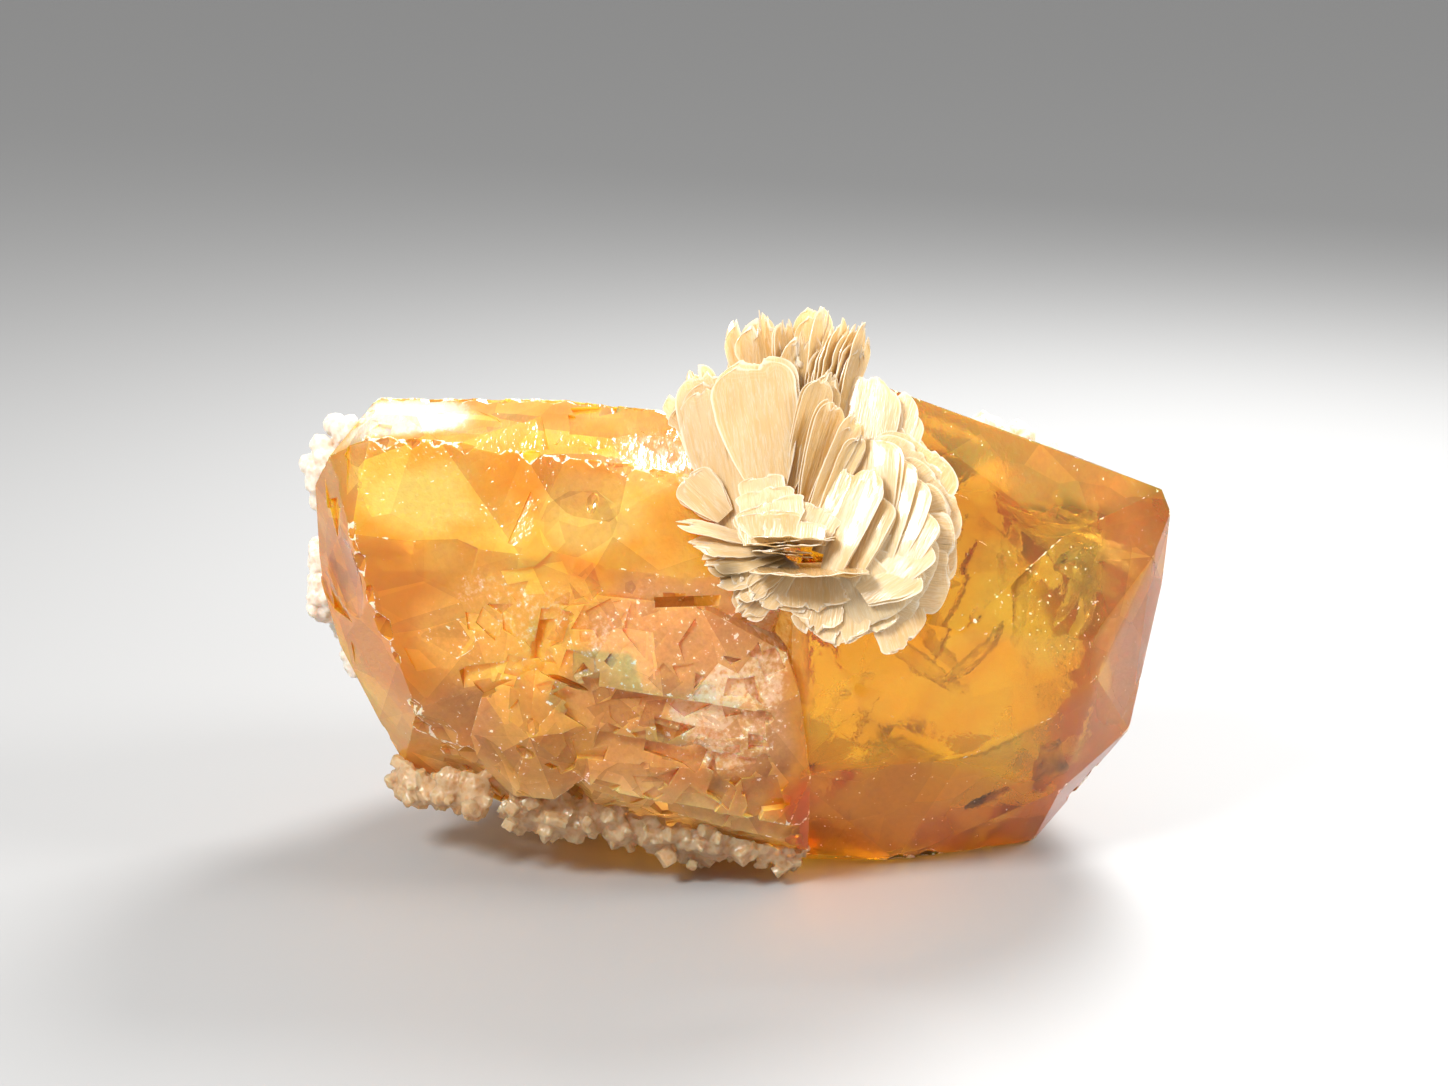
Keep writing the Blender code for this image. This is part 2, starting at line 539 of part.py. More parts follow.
def build():
    """Clear the scene and make the specimen's pieces."""
    for old in list(bpy.data.objects):
        bpy.data.objects.remove(old)
    home = collection(SPECIMEN)
    benches = collection("cutters")
    pieces = [scheelite(home, benches)]
    placed = []
    for name, fans, seed in (
            ("muscovite_left_leaves", LEFT_LEAVES, 21),
            ("muscovite_center_book", CENTER_BOOK, 22),
            ("muscovite_right_petals", RIGHT_PETALS, 23),
            ("muscovite_upright_fan", UPRIGHT_FAN, 24),
            ("muscovite_lower_skirt", LOWER_SKIRT, 25)):
        pieces.append(muscovite(name, fans, seed, home, benches, placed))
        placed.append((fans, seed))
    for name, lines, seed in (
            ("white_crust_left_upper", LEFT_UPPER_CRUST, 31),
            ("white_crust_left_lower", LEFT_LOWER_CRUST, 32),
            ("white_crust_lower_left", LOWER_LEFT_CRUST, 33),
            ("white_crust_lower_front", LOWER_FRONT_CRUST, 34),
            ("white_crust_back", BACK_CRUST, 35)):
        pieces.append(crust(name, lines, seed, home, benches))
    return pieces


build()
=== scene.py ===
"""Scheelite with muscovite: the looks of the specimen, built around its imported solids.

The scheelite is a see-through orange crystal, clear on the right and milky on the left, with
flat internal fractures. The muscovite is a rosette of thin pearly sheets. The crust is white and
sugary. Points are in millimetres in the part's own frame: X along the crystal, -Y to the front,
Z up.
"""

import logging
import math
import random
from contextlib import contextmanager
from dataclasses import dataclass, field, replace
from enum import Enum
from typing import Any, Callable, Iterator, Sequence

import bmesh
import bpy
import numpy as np
from mathutils import Matrix, Vector, noise
from mathutils.bvhtree import BVHTree
from mathutils.kdtree import KDTree


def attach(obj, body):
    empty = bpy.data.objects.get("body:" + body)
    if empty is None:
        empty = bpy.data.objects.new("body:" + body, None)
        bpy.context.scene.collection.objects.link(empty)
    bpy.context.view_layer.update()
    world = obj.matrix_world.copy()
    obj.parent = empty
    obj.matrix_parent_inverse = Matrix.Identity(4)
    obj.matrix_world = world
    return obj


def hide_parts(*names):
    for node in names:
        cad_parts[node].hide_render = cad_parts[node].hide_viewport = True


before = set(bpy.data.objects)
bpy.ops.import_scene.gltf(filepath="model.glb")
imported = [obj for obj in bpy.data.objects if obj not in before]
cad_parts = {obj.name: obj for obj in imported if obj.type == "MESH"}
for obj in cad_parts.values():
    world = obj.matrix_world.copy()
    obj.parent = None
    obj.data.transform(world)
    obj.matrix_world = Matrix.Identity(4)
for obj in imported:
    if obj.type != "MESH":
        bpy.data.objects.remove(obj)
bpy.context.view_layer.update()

MM = 0.001
SEEDS = 900.0  # a seed is a third coordinate of the noise, anywhere from 0 to this
BODY = "root"
LOG = logging.getLogger("specimen")

Point = tuple[float, float, float]
Color = tuple[float, float, float]


# Shader writing


class Signal:
    """A shader socket whose maths is written as Python expressions."""

    def __init__(self, paint: "Paint", socket: bpy.types.NodeSocket) -> None:
        """Wrap an output socket of the paint's node tree."""
        self.paint = paint
        self.socket = socket

    def math(self, operation: str, *others: Any) -> "Signal":
        """Return the result of a Math node on this signal and others."""
        return self.paint.node("ShaderNodeMath", {"operation": operation},
                               dict(enumerate((self, *others))))

    def __add__(self, other: Any) -> "Signal":
        """Return the sum."""
        return self.math("ADD", other)

    def __radd__(self, other: Any) -> "Signal":
        """Return the sum with a number on the left."""
        return self.math("ADD", other)

    def __sub__(self, other: Any) -> "Signal":
        """Return the difference."""
        return self.math("SUBTRACT", other)

    def __rsub__(self, other: float) -> "Signal":
        """Return a number less this signal."""
        return self.paint.node("ShaderNodeMath", {"operation": "SUBTRACT"}, {0: other, 1: self})

    def __mul__(self, other: Any) -> "Signal":
        """Return the product."""
        return self.math("MULTIPLY", other)

    def __rmul__(self, other: Any) -> "Signal":
        """Return the product with a number on the left."""
        return self.math("MULTIPLY", other)

    def between(self, low: float, high: float) -> "Signal":
        """Rise smoothly from 0 to 1 between two values.

        Args:
            low: Where the result is 0.
            high: Where the result is 1. Below low, the result falls.

        Returns:
            The result, held between 0 and 1.
        """
        return self.paint.node(
            "ShaderNodeMapRange", {"interpolation_type": "SMOOTHSTEP", "clamp": True},
            {"Value": self, "From Min": low, "From Max": high})


class Paint:
    """A material and the nodes written into it."""

    def __init__(self, name: str) -> None:
        """Start an empty node material."""
        self.material = bpy.data.materials.new(name)
        self.material.use_nodes = True
        self.tree = self.material.node_tree
        self.tree.nodes.clear()
        self.out = self.tree.nodes.new("ShaderNodeOutputMaterial")

    def node(self, kind: str, settings: dict[str, Any], inputs: dict[Any, Any],
             output: Any = 0) -> Signal:
        """Make a node.

        Args:
            kind: The node's type name.
            settings: Its properties, set before the sockets are used.
            inputs: Values or signals for its sockets, by name or number.
            output: The name or number of the socket that is returned.

        Returns:
            The chosen output as a signal.
        """
        made = self.tree.nodes.new(kind)
        for name, value in settings.items():
            setattr(made, name, value)
        for name, value in inputs.items():
            socket = made.inputs[name]
            if isinstance(value, Signal):
                self.tree.links.new(value.socket, socket)
            elif isinstance(value, tuple) and len(value) == 3 and socket.type == "RGBA":
                socket.default_value = (*value, 1.0)
            else:
                socket.default_value = value
        return Signal(self, made.outputs[output])

    def place(self) -> Signal:
        """Return the object coordinates in millimetres."""
        spot = self.node("ShaderNodeTexCoord", {}, {}, "Object")
        return self.vector("SCALE", spot, Scale=1.0 / MM)

    def vector(self, operation: str, *parts: Any, output: Any = 0, **named: Any) -> Signal:
        """Return the result of a Vector Math node."""
        return self.node("ShaderNodeVectorMath", {"operation": operation},
                         {**dict(enumerate(parts)), **named}, output)

    def split(self, spot: Signal, axis: str) -> Signal:
        """Return one coordinate of a vector."""
        return self.node("ShaderNodeSeparateXYZ", {}, {0: spot}, axis)

    def noise(self, spot: Signal, scale: float, detail: float = 3.0,
              rough: float = 0.5) -> Signal:
        """Return smooth noise from 0 to 1, with scale as its features to the millimetre."""
        return self.node("ShaderNodeTexNoise", {}, {
            "Vector": spot, "Scale": scale, "Detail": detail, "Roughness": rough})

    def cells(self, spot: Signal, scale: float, output: Any = 0) -> Signal:
        """Return a Voronoi pattern, with scale as its cells to the millimetre."""
        return self.node("ShaderNodeTexVoronoi", {}, {"Vector": spot, "Scale": scale}, output)

    def mix(self, share: Any, low: Any, high: Any) -> Signal:
        """Mix two colours by a share. The numbers are those sockets of the node."""
        return self.node("ShaderNodeMix", {"data_type": "RGBA"}, {0: share, 6: low, 7: high}, 2)

    def bump(self, height: Signal, distance: float) -> Signal:
        """Return the normal of a height, of which 1 is the distance in millimetres."""
        return self.node("ShaderNodeBump", {}, {"Height": height, "Distance": distance * MM})

    def attribute(self, name: str) -> Signal:
        """Return a number stored on the mesh."""
        return self.node("ShaderNodeAttribute", {"attribute_name": name}, {}, "Fac")

    def principled(self, **inputs: Any) -> Signal:
        """Return a Principled shader. Names have underscores for spaces."""
        return self.node("ShaderNodeBsdfPrincipled", {},
                         {name.replace("_", " "): value for name, value in inputs.items()})

    def blend(self, share: Any, low: Signal, high: Signal) -> Signal:
        """Mix two shaders by a share."""
        return self.node("ShaderNodeMixShader", {}, {0: share, 1: low, 2: high})

    def finish(self, surface: Signal, volume: Signal | None = None) -> bpy.types.Material:
        """Link the shaders to the output.

        Args:
            surface: The surface's shader.
            volume: The shader of what lies inside, if any.

        Returns:
            The material.
        """
        self.tree.links.new(surface.socket, self.out.inputs["Surface"])
        if volume:
            self.tree.links.new(volume.socket, self.out.inputs["Volume"])
        return self.material


# Mesh helpers


def select_only(*chosen: bpy.types.Object) -> None:
    """Select some objects and nothing else, and make the first one active."""
    bpy.ops.object.select_all(action="DESELECT")
    for piece in chosen:
        piece.select_set(True)
    bpy.context.view_layer.objects.active = chosen[0]


def smooth(piece: bpy.types.Object, degrees: float) -> None:
    """Shade a piece smooth, apart from edges that turn by more than some degrees."""
    select_only(piece)
    bpy.ops.object.shade_smooth_by_angle(angle=math.radians(degrees))


def apply_modifier(piece: bpy.types.Object, kind: str, **settings: Any) -> None:
    """Add a modifier and apply it.

    Args:
        piece: The object to change.
        kind: The modifier's type.
        **settings: Its properties.
    """
    step = piece.modifiers.new(kind.lower(), kind)
    for name, value in settings.items():
        setattr(step, name, value)
    select_only(piece)
    bpy.ops.object.modifier_apply(modifier=step.name)


def placed(name: str, data: bpy.types.ID) -> bpy.types.Object:
    """Return a new object in the scene."""
    made = bpy.data.objects.new(name, data)
    bpy.context.scene.collection.objects.link(made)
    return made


def merged_copy(node: str, name: str) -> bpy.types.Object:
    """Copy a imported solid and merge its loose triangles.

    Args:
        node: The solid's node.
        name: The copy's name.

    Returns:
        The copy, with a mesh of its own.
    """
    made = placed(name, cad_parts[node].data.copy())
    made.data.materials.clear()
    for old in [a.name for a in made.data.attributes if a.name.startswith("custom_normal")]:
        made.data.attributes.remove(made.data.attributes[old])
    select_only(made)
    bpy.ops.object.mode_set(mode="EDIT")
    bpy.ops.mesh.select_all(action="SELECT")
    bpy.ops.mesh.remove_doubles(threshold=0.000001)
    bpy.ops.mesh.normals_make_consistent(inside=False)
    bpy.ops.object.mode_set(mode="OBJECT")
    return made


def joined(pieces: Sequence[bpy.types.Object], name: str) -> bpy.types.Object:
    """Join objects into one.

    Args:
        pieces: The objects. The first one takes up the others.
        name: The name that it gets.

    Returns:
        The joined object.
    """
    select_only(*pieces)
    bpy.ops.object.join()
    made = bpy.context.view_layer.objects.active
    made.name = made.data.name = name
    return made


def cut(piece: bpy.types.Object, tools: Sequence[bpy.types.Object]) -> None:
    """Cut tools from a piece in one exact step, and remove them.

    Args:
        piece: The object to cut.
        tools: Closed shapes. They may overlap.
    """
    bench = bpy.data.collections.new("bench")
    bpy.context.scene.collection.children.link(bench)
    for tool in tools:
        for home in list(tool.users_collection):
            home.objects.unlink(tool)
        bench.objects.link(tool)
    apply_modifier(piece, "BOOLEAN", operation="DIFFERENCE", solver="EXACT",
                   operand_type="COLLECTION", collection=bench)
    for tool in tools:
        bpy.data.objects.remove(tool)
    bpy.data.collections.remove(bench)


@contextmanager
def opened(mesh: bpy.types.Mesh, changed: bool = True) -> Iterator[bmesh.types.BMesh]:
    """Open a mesh to look at it or edit it.

    Args:
        mesh: The mesh.
        changed: Whether it is written back.

    Yields:
        The open mesh.
    """
    bm = bmesh.new()
    bm.from_mesh(mesh)
    yield bm
    if changed:
        bm.to_mesh(mesh)
    bm.free()


def surface_of(piece: bpy.types.Object) -> BVHTree:
    """Return an object's surface in millimetres, for measuring."""
    return BVHTree.FromPolygons([vert.co / MM for vert in piece.data.vertices],
                                [face.vertices for face in piece.data.polygons])


def numbers(items: Any, name: str, width: int = 1, kind: type = float) -> np.ndarray:
    """Read a number or a vector of every point, corner or face.

    Args:
        items: The mesh's points, corners or faces.
        name: What is read.
        width: How many numbers each item has.
        kind: The numbers' type.

    Returns:
        A row for each item, or one number for each if the width is 1.
    """
    flat = np.empty(len(items) * width, dtype=kind)
    items.foreach_get(name, flat)
    return flat.reshape(-1, width) if width > 1 else flat


def points_of(mesh: bpy.types.Mesh) -> np.ndarray:
    """Return a mesh's points in millimetres."""
    return numbers(mesh.vertices, "co", 3) / MM


def set_points(mesh: bpy.types.Mesh, points: np.ndarray) -> None:
    """Move a mesh's points to places in millimetres."""
    mesh.vertices.foreach_set("co", (points * MM).ravel())
    mesh.update()


def store(mesh: bpy.types.Mesh, name: str, values: np.ndarray, domain: str = "POINT") -> None:
    """Store a number or a colour on each point or corner of a mesh.

    Args:
        mesh: The mesh.
        name: The attribute's name.
        values: A number or a colour for each.
        domain: POINT or CORNER.
    """
    if values.ndim == 1:
        layer = mesh.attributes.new(name, "FLOAT", domain)
        layer.data.foreach_set("value", values.astype(np.float32))
    else:
        layer = mesh.attributes.new(name, "FLOAT_COLOR", domain)
        full = np.concatenate([values, np.ones((len(values), 1))], axis=1)
        layer.data.foreach_set("color", full.astype(np.float32).ravel())


def hand_over(piece: bpy.types.Object, node: str) -> None:
    """Tell the frame about a finished piece.

    Args:
        piece: The piece.
        node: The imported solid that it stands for.
    """
    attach(piece, BODY)
    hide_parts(node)
    LOG.info("%s: %d faces", piece.name, len(piece.data.polygons))


def scattered(draw: random.Random, reach: float = 1.0) -> Vector:
    """Draw a vector with each coordinate between plus and minus a reach."""
    return Vector([draw.uniform(-reach, reach) for _ in range(3)])


def spun(draw: random.Random, axis: Any = "Z") -> Matrix:
    """Draw a turn of any size about an axis."""
    return Matrix.Rotation(draw.uniform(0.0, math.tau), 4, axis)


def facing_turn(facing: Vector, side: str = "Y") -> Matrix:
    """Return the turn that makes Z look some way."""
    return facing.to_track_quat("Z", side).to_matrix().to_4x4()


def round_noise(angle: float, scale: float, seed: float) -> float:
    """Return noise that closes on itself all round a rim."""
    return noise.noise(Vector((math.cos(angle) * scale, math.sin(angle) * scale, seed)))


class Blank:
    """Primitive shapes that are modelled once and copied."""

    def __init__(self) -> None:
        """Start with no shapes."""
        self.made: dict[tuple[Any, ...], bpy.types.Mesh] = {}

    def ball(self, rounds: int) -> bpy.types.Object:
        """Return a new ball of radius 1 mm."""
        return self._copy(("ball", rounds), lambda: bpy.ops.mesh.primitive_ico_sphere_add(
            subdivisions=rounds, radius=MM))

    def prism(self, sides: int) -> bpy.types.Object:
        """Return a new upright prism of radius 1 mm that spans -1 to 1 mm."""
        return self._copy(("prism", sides), lambda: bpy.ops.mesh.primitive_cylinder_add(
            vertices=sides, radius=MM, depth=2.0 * MM))

    def grid(self, columns: int, rows: int) -> bpy.types.Object:
        """Return a new flat grid that spans -1 to 1 mm."""
        return self._copy(("grid", columns, rows), lambda: bpy.ops.mesh.primitive_grid_add(
            x_subdivisions=columns, y_subdivisions=rows, size=2.0 * MM))

    def _copy(self, key: tuple[Any, ...], add: Callable[[], Any]) -> bpy.types.Object:
        """Copy a shape, which is modelled the first time it is asked for.

        Args:
            key: The shape's name and its numbers.
            add: Adds the shape to the scene.

        Returns:
            An object with a mesh of its own.
        """
        if key not in self.made:
            bpy.ops.object.select_all(action="DESELECT")
            add()
            first = bpy.context.view_layer.objects.active
            self.made[key] = first.data
            bpy.data.objects.remove(first)
        return placed(key[0], self.made[key].copy())

    def clear(self) -> None:
        """Remove the first shapes."""
        for mesh in self.made.values():
            bpy.data.meshes.remove(mesh)
        self.made.clear()


BLANK = Blank()


# Finishes


@dataclass(frozen=True)
class Zone:
    """A rounded region of the crystal: its colour, milkiness, share of cracks with painted glints,
    and of frost.
    """

    middle: Point
    radii: Point
    tint: Color
    milk: float
    cracks_and_glints: float = 0.4
    frost: float = 0.0


@dataclass(frozen=True)
class ScheeliteFinish:
    """Orange crystal: glass that takes up blue light, mixed with a milky body by region."""

    name: str = "scheelite"
    ior: float = 1.6
    absorption: Color = (0.97, 0.66, 0.12)
    density: float = 22.0
    left_tints: tuple[Color, Color] = ((0.98, 0.42, 0.03), (1.0, 0.58, 0.10))
    right_tints: tuple[Color, Color] = ((1.0, 0.42, 0.01), (1.0, 0.54, 0.03))
    left_milk: float = 0.46
    right_milk: float = 0.09
    border: tuple[float, float] = (3.6, 5.2)
    panes: float = 0.23
    # White of the cracks and frost, and of the painted glints and highlights.
    crack_and_highlight_color: Color = (1.0, 0.90, 0.74)
    hollow_color: Color = (1.0, 0.90, 0.45)
    gloss: float = 0.3
    pane_tilt: float = 0.06
    sway_seed: int = 41
    zones: tuple[Zone, ...] = (
        Zone((-4.0, -12.0, 13.0), (19.0, 14.0, 6.5), (0.62, 0.30, 0.09), 0.55, 0.7, 0.18),
        Zone((-12.0, -12.0, 5.0), (16.0, 12.0, 4.5), (0.70, 0.42, 0.16), 0.75, 0.5, 0.10),
        Zone((-2.0, -15.0, 19.0), (9.0, 6.0, 4.0), (0.84, 0.42, 0.16), 0.65, 0.9, 0.38),
        Zone((0.5, -15.0, 14.0), (4.5, 6.0, 4.0), (0.78, 0.42, 0.18), 0.60, 1.0, 0.42),
        Zone((-13.0, -14.0, 11.5), (4.0, 5.0, 4.5), (0.66, 0.34, 0.07), 0.50, 0.7, 0.10),
        Zone((-24.0, -9.0, 19.0), (8.0, 9.0, 5.4), (0.86, 0.33, 0.01), 0.45, 0.10, 0.0),
        Zone((-15.0, -13.0, 19.0), (6.0, 6.0, 4.0), (1.0, 0.50, 0.09), 0.55, 0.9, 0.22),
        # The two brighter yellow zones below the left ridge are a painted glow of light shining
        # through the crystal.
        Zone((-20.5, -11.0, 27.6), (4.5, 5.0, 2.2), (1.0, 0.66, 0.16), 0.46, 0.5, 0.10),
        Zone((-9.0, -13.0, 27.2), (4.0, 5.0, 2.2), (1.0, 0.64, 0.16), 0.46, 0.6, 0.12),
        # The pale, frosty top-left corner is partly real frost and partly a painted reflection of
        # the lamps.
        Zone((-22.5, -5.5, 32.0), (4.6, 3.4, 1.6), (1.0, 0.80, 0.52), 0.75, 0.7, 0.75),
        Zone((-5.0, -9.0, 30.2), (3.6, 4.0, 2.0), (1.0, 0.56, 0.16), 0.50, 1.0, 0.26),
        Zone((18.0, -1.0, 29.0), (15.0, 6.0, 5.0), (1.0, 0.47, 0.07), 0.30, 0.5, 0.12),
        # The two bright yellow zones in the right crystal are a painted glow of light reflected
        # inside it from its fractures.
        Zone((21.0, -8.0, 20.0), (6.5, 5.0, 4.0), (1.0, 0.72, 0.12), 0.10, 0.9, 0.06),
        Zone((14.5, -9.0, 18.5), (3.0, 4.0, 2.2), (1.0, 0.66, 0.08), 0.08, 0.7, 0.04),
        # The deep amber zones at the bottom of the right crystal are painted shade, darker towards
        # the floor.
        Zone((10.0, -10.0, 5.0), (10.0, 8.0, 5.0), (0.78, 0.24, 0.01), 0.24, 0.5, 0.08),
        Zone((22.0, -6.0, 3.5), (9.0, 8.0, 3.5), (0.80, 0.26, 0.01), 0.16, 0.4, 0.04),
        Zone((28.5, -4.0, 17.0), (4.0, 7.0, 9.0), (1.0, 0.50, 0.10), 0.26, 0.3, 0.10),
    )

    def material(self) -> bpy.types.Material:
        """Return the crystal's material. It reads what the crystal stores on its points."""
        paint = Paint(self.name)
        spot = paint.place()
        tint = paint.node("ShaderNodeAttribute", {"attribute_name": "tint"}, {}, "Color")
        milk = paint.attribute("milk")
        share = paint.attribute("cracks_and_glints")
        drawn = paint.node("ShaderNodeMapping", {}, {
            "Vector": spot, "Rotation": (0.3, 0.5, 0.7), "Scale": (2.4, 0.6, 2.4)})
        strokes = paint.noise(drawn, 1.0, 2.0, 0.65)
        pane = paint.cells(spot, self.panes, output="Color")
        # White along the main edges: partly chipped wear, partly a painted highlight where the
        # edges catch the light.
        edge_wear_sheen_and_veil = (paint.attribute("edge_wear_sheen_and_veil") + 0.6 * strokes).between(1.22, 1.30)
        frost = paint.attribute("frost") + paint.split(pane, "X") * 0.5 + strokes
        frost = frost.between(1.15, 1.45)
        # White strokes: partly real cracks, partly painted glints. The stored share sets how many
        # there are.
        white = (strokes + share * 0.14).between(0.755, 0.82)
        white = white.math("MAXIMUM", edge_wear_sheen_and_veil).math("MAXIMUM", frost * 0.6) * 0.8
        gain = 0.88 + paint.split(pane, "Y") * 0.22 + (strokes - 0.5) * 0.7 * share
        color = paint.mix(white, paint.vector("SCALE", tint, Scale=gain), self.crack_and_highlight_color)
        rough = 0.03 + share * 0.06 + white * 0.22
        milk = milk * (0.75 + paint.split(pane, "Z") * 0.5)
        normal = self.normal(paint, spot, pane, milk, strokes)
        glass = paint.principled(
            Base_Color=color, Roughness=rough, IOR=self.ior, Specular_IOR_Level=self.gloss,
            Transmission_Weight=1.0, Normal=normal)
        body = paint.principled(
            Base_Color=color, Roughness=rough + 0.05, IOR=self.ior,
            Specular_IOR_Level=self.gloss, Subsurface_Weight=1.0,
            Subsurface_Radius=(1.0, 0.45, 0.12), Subsurface_Scale=2.0 * MM, Normal=normal)
        inside = paint.node("ShaderNodeVolumeAbsorption", {}, {
            "Color": self.absorption, "Density": self.density})
        return paint.finish(paint.blend(milk.math("MAXIMUM", white), glass, body), inside)

    def hollow_material(self) -> bpy.types.Material:
        """Return the bright, half-clear material of the hollows, which take up no light."""
        paint = Paint(self.name + "_fracture")
        veil = paint.attribute("edge_wear_sheen_and_veil")
        rough = 0.02 + veil * 0.10
        clear = paint.principled(Base_Color=(1.0, 1.0, 1.0), Roughness=rough, IOR=self.ior,
                                 Transmission_Weight=1.0)
        silver = paint.principled(Base_Color=self.hollow_color, Roughness=rough, IOR=self.ior)
        return paint.finish(paint.blend(veil * 0.40, clear, silver))

    def normal(self, paint: Paint, spot: Signal, pane: Signal, milk: Signal,
               strokes: Signal) -> Signal:
        """Work out the surface's fine relief: tilted panes, and ripples where it is milky.

        Args:
            paint: The material.
            spot: The place in millimetres.
            pane: The colour of the pane there, which gives its tilt.
            milk: How milky it is.
            strokes: Fine noise drawn out along the crystal.

        Returns:
            The normal.
        """
        core = Signal(paint, pane.socket.node.outputs["Position"])
        height = paint.vector("DOT_PRODUCT", paint.vector("SUBTRACT", pane, (0.5, 0.5, 0.5)),
                              paint.vector("SUBTRACT", spot, core), output="Value")
        return paint.bump(height * self.pane_tilt + strokes * (0.008 + milk * 0.09), 1.0)

    def painted(self, points: np.ndarray, facings: np.ndarray,
                corners: np.ndarray) -> dict[str, np.ndarray]:
        """Work out what the crystal stores on the corners of its faces.

        Args:
            points: The mesh's points in millimetres.
            facings: The way each corner's face looks. Each flat face gets a shade of its own.
            corners: The number of each corner's point.

        Returns:
            Colour, milkiness, and shares of cracks with painted glints and of frost for each
            corner.
        """
        noise.seed_set(self.sway_seed)  # without a seed, noise_vector differs from run to run
        sway = np.array([noise.noise_vector(Vector(p) * 0.28) for p in points])
        patch = np.array([noise.fractal(Vector(p) * 0.22, 0.7, 2.0, 4) for p in points])
        patch = np.clip(0.5 + 0.9 * patch, 0.0, 1.0)[:, None]
        flat = np.round(facings * 14.0) @ np.array((12.9898, 78.233, 37.719))
        shade = np.modf(np.abs(np.sin(flat)) * 43758.5453)[0]
        moved = points + sway * 1.6
        low, high = self.border
        side = np.clip((moved[:, 0] - low) / (high - low), 0.0, 1.0)
        left = np.array(self.left_tints[0]) * (1.0 - patch) + np.array(self.left_tints[1]) * patch
        right = (np.array(self.right_tints[0]) * (1.0 - patch)
                 + np.array(self.right_tints[1]) * patch)
        tint = left * (1.0 - side[:, None]) + right * side[:, None]
        milk = self.left_milk + (self.right_milk - self.left_milk) * side
        cracks_and_glints = 0.35 + 0.3 * (patch[:, 0] - 0.5) - 0.15 * side
        frost = np.zeros(len(points))
        for zone in self.zones:
            away = np.linalg.norm((moved - np.array(zone.middle)) / np.array(zone.radii), axis=1)
            inside = np.clip((1.25 - away) / 0.5, 0.0, 1.0)
            inside = inside * inside * (3.0 - 2.0 * inside)
            inside = inside * (side if zone.middle[0] > low else 1.0 - side)
            tint += inside[:, None] * (np.array(zone.tint) - tint)
            milk += inside * (zone.milk - milk)
            cracks_and_glints += inside * (zone.cracks_and_glints - cracks_and_glints)
            frost += inside * (zone.frost - frost)
        tint = np.clip(tint[corners] * (0.86 + 0.24 * shade[:, None]), 0.0, 1.0)
        milk = np.clip(milk[corners] * (0.8 + 0.4 * shade), 0.0, 1.0)
        return {"tint": tint, "milk": milk, "cracks_and_glints": cracks_and_glints[corners], "frost": frost[corners]}


@dataclass(frozen=True)
class MicaFinish:
    """Pearly cream sheets: fine streaks along the sheet, growth lines along its rim."""

    name: str
    pale: Color = (0.93, 0.77, 0.49)
    deep: Color = (0.85, 0.61, 0.29)
    # Dark brown of the flecks and of the pockets, where it is partly painted shade.
    stain_and_shade: Color = (0.16, 0.09, 0.03)
    rim: Color = (1.0, 0.97, 0.88)
    light_color: Color = (1.0, 0.86, 0.54)
    through: float = 0.48
    ior: float = 1.58

    def material(self) -> bpy.types.Material:
        """Return the sheets' material."""
        paint = Paint(self.name)
        spot = paint.place()
        sheet = paint.node("ShaderNodeUVMap", {"uv_map": "sheet"}, {})
        stretched = paint.vector("MULTIPLY", sheet, (1.0, 0.07, 1.0))
        rim = paint.attribute("rim")
        own = paint.attribute("own")
        streaks = paint.noise(stretched, 3.4, 3.0, 0.7)
        clouds = paint.noise(spot, 0.5, 1.0)
        lines = (rim * 60.0 + clouds * 8.0 + own * 9.0).math("SINE").between(0.55, 1.0)
        lines = lines * rim.between(0.45, 0.95)
        depth = own * 0.30 + clouds * 0.30 + streaks * 0.6
        color = paint.mix(depth.between(0.42, 0.78), self.pale, self.deep)
        silky = (streaks - 0.5).math("ABSOLUTE").between(0.030, 0.004)
        color = paint.mix((lines * 0.40).math("MAXIMUM", silky * 0.45), color, self.rim)
        edge = rim.between(0.93, 0.985)
        color = paint.mix(edge * 0.9, color, self.rim)
        dashes = paint.cells(stretched, 1.5)
        flecks = dashes.between(0.10, 0.05) * clouds.between(0.50, 0.58)
        # Brown flecks are real stain; the pockets under the middle and at the lower left are partly
        # stain, partly painted shade.
        stained_and_shaded = (flecks * 0.45).math("MAXIMUM", paint.attribute("stain_and_shade"))
        color = paint.mix(stained_and_shaded, color, self.stain_and_shade)
        rough = 0.14 + streaks * 0.28 + edge * 0.15
        normal = paint.bump(streaks, 0.10)
        face = paint.principled(
            Base_Color=color, Roughness=rough, IOR=self.ior, Specular_IOR_Level=0.8,
            Coat_Weight=0.8, Coat_Roughness=0.08, Normal=normal)
        glow = paint.node("ShaderNodeBsdfTranslucent", {}, {
            "Color": self.light_color, "Normal": normal})
        return paint.finish(paint.blend(self.through, face, glow))


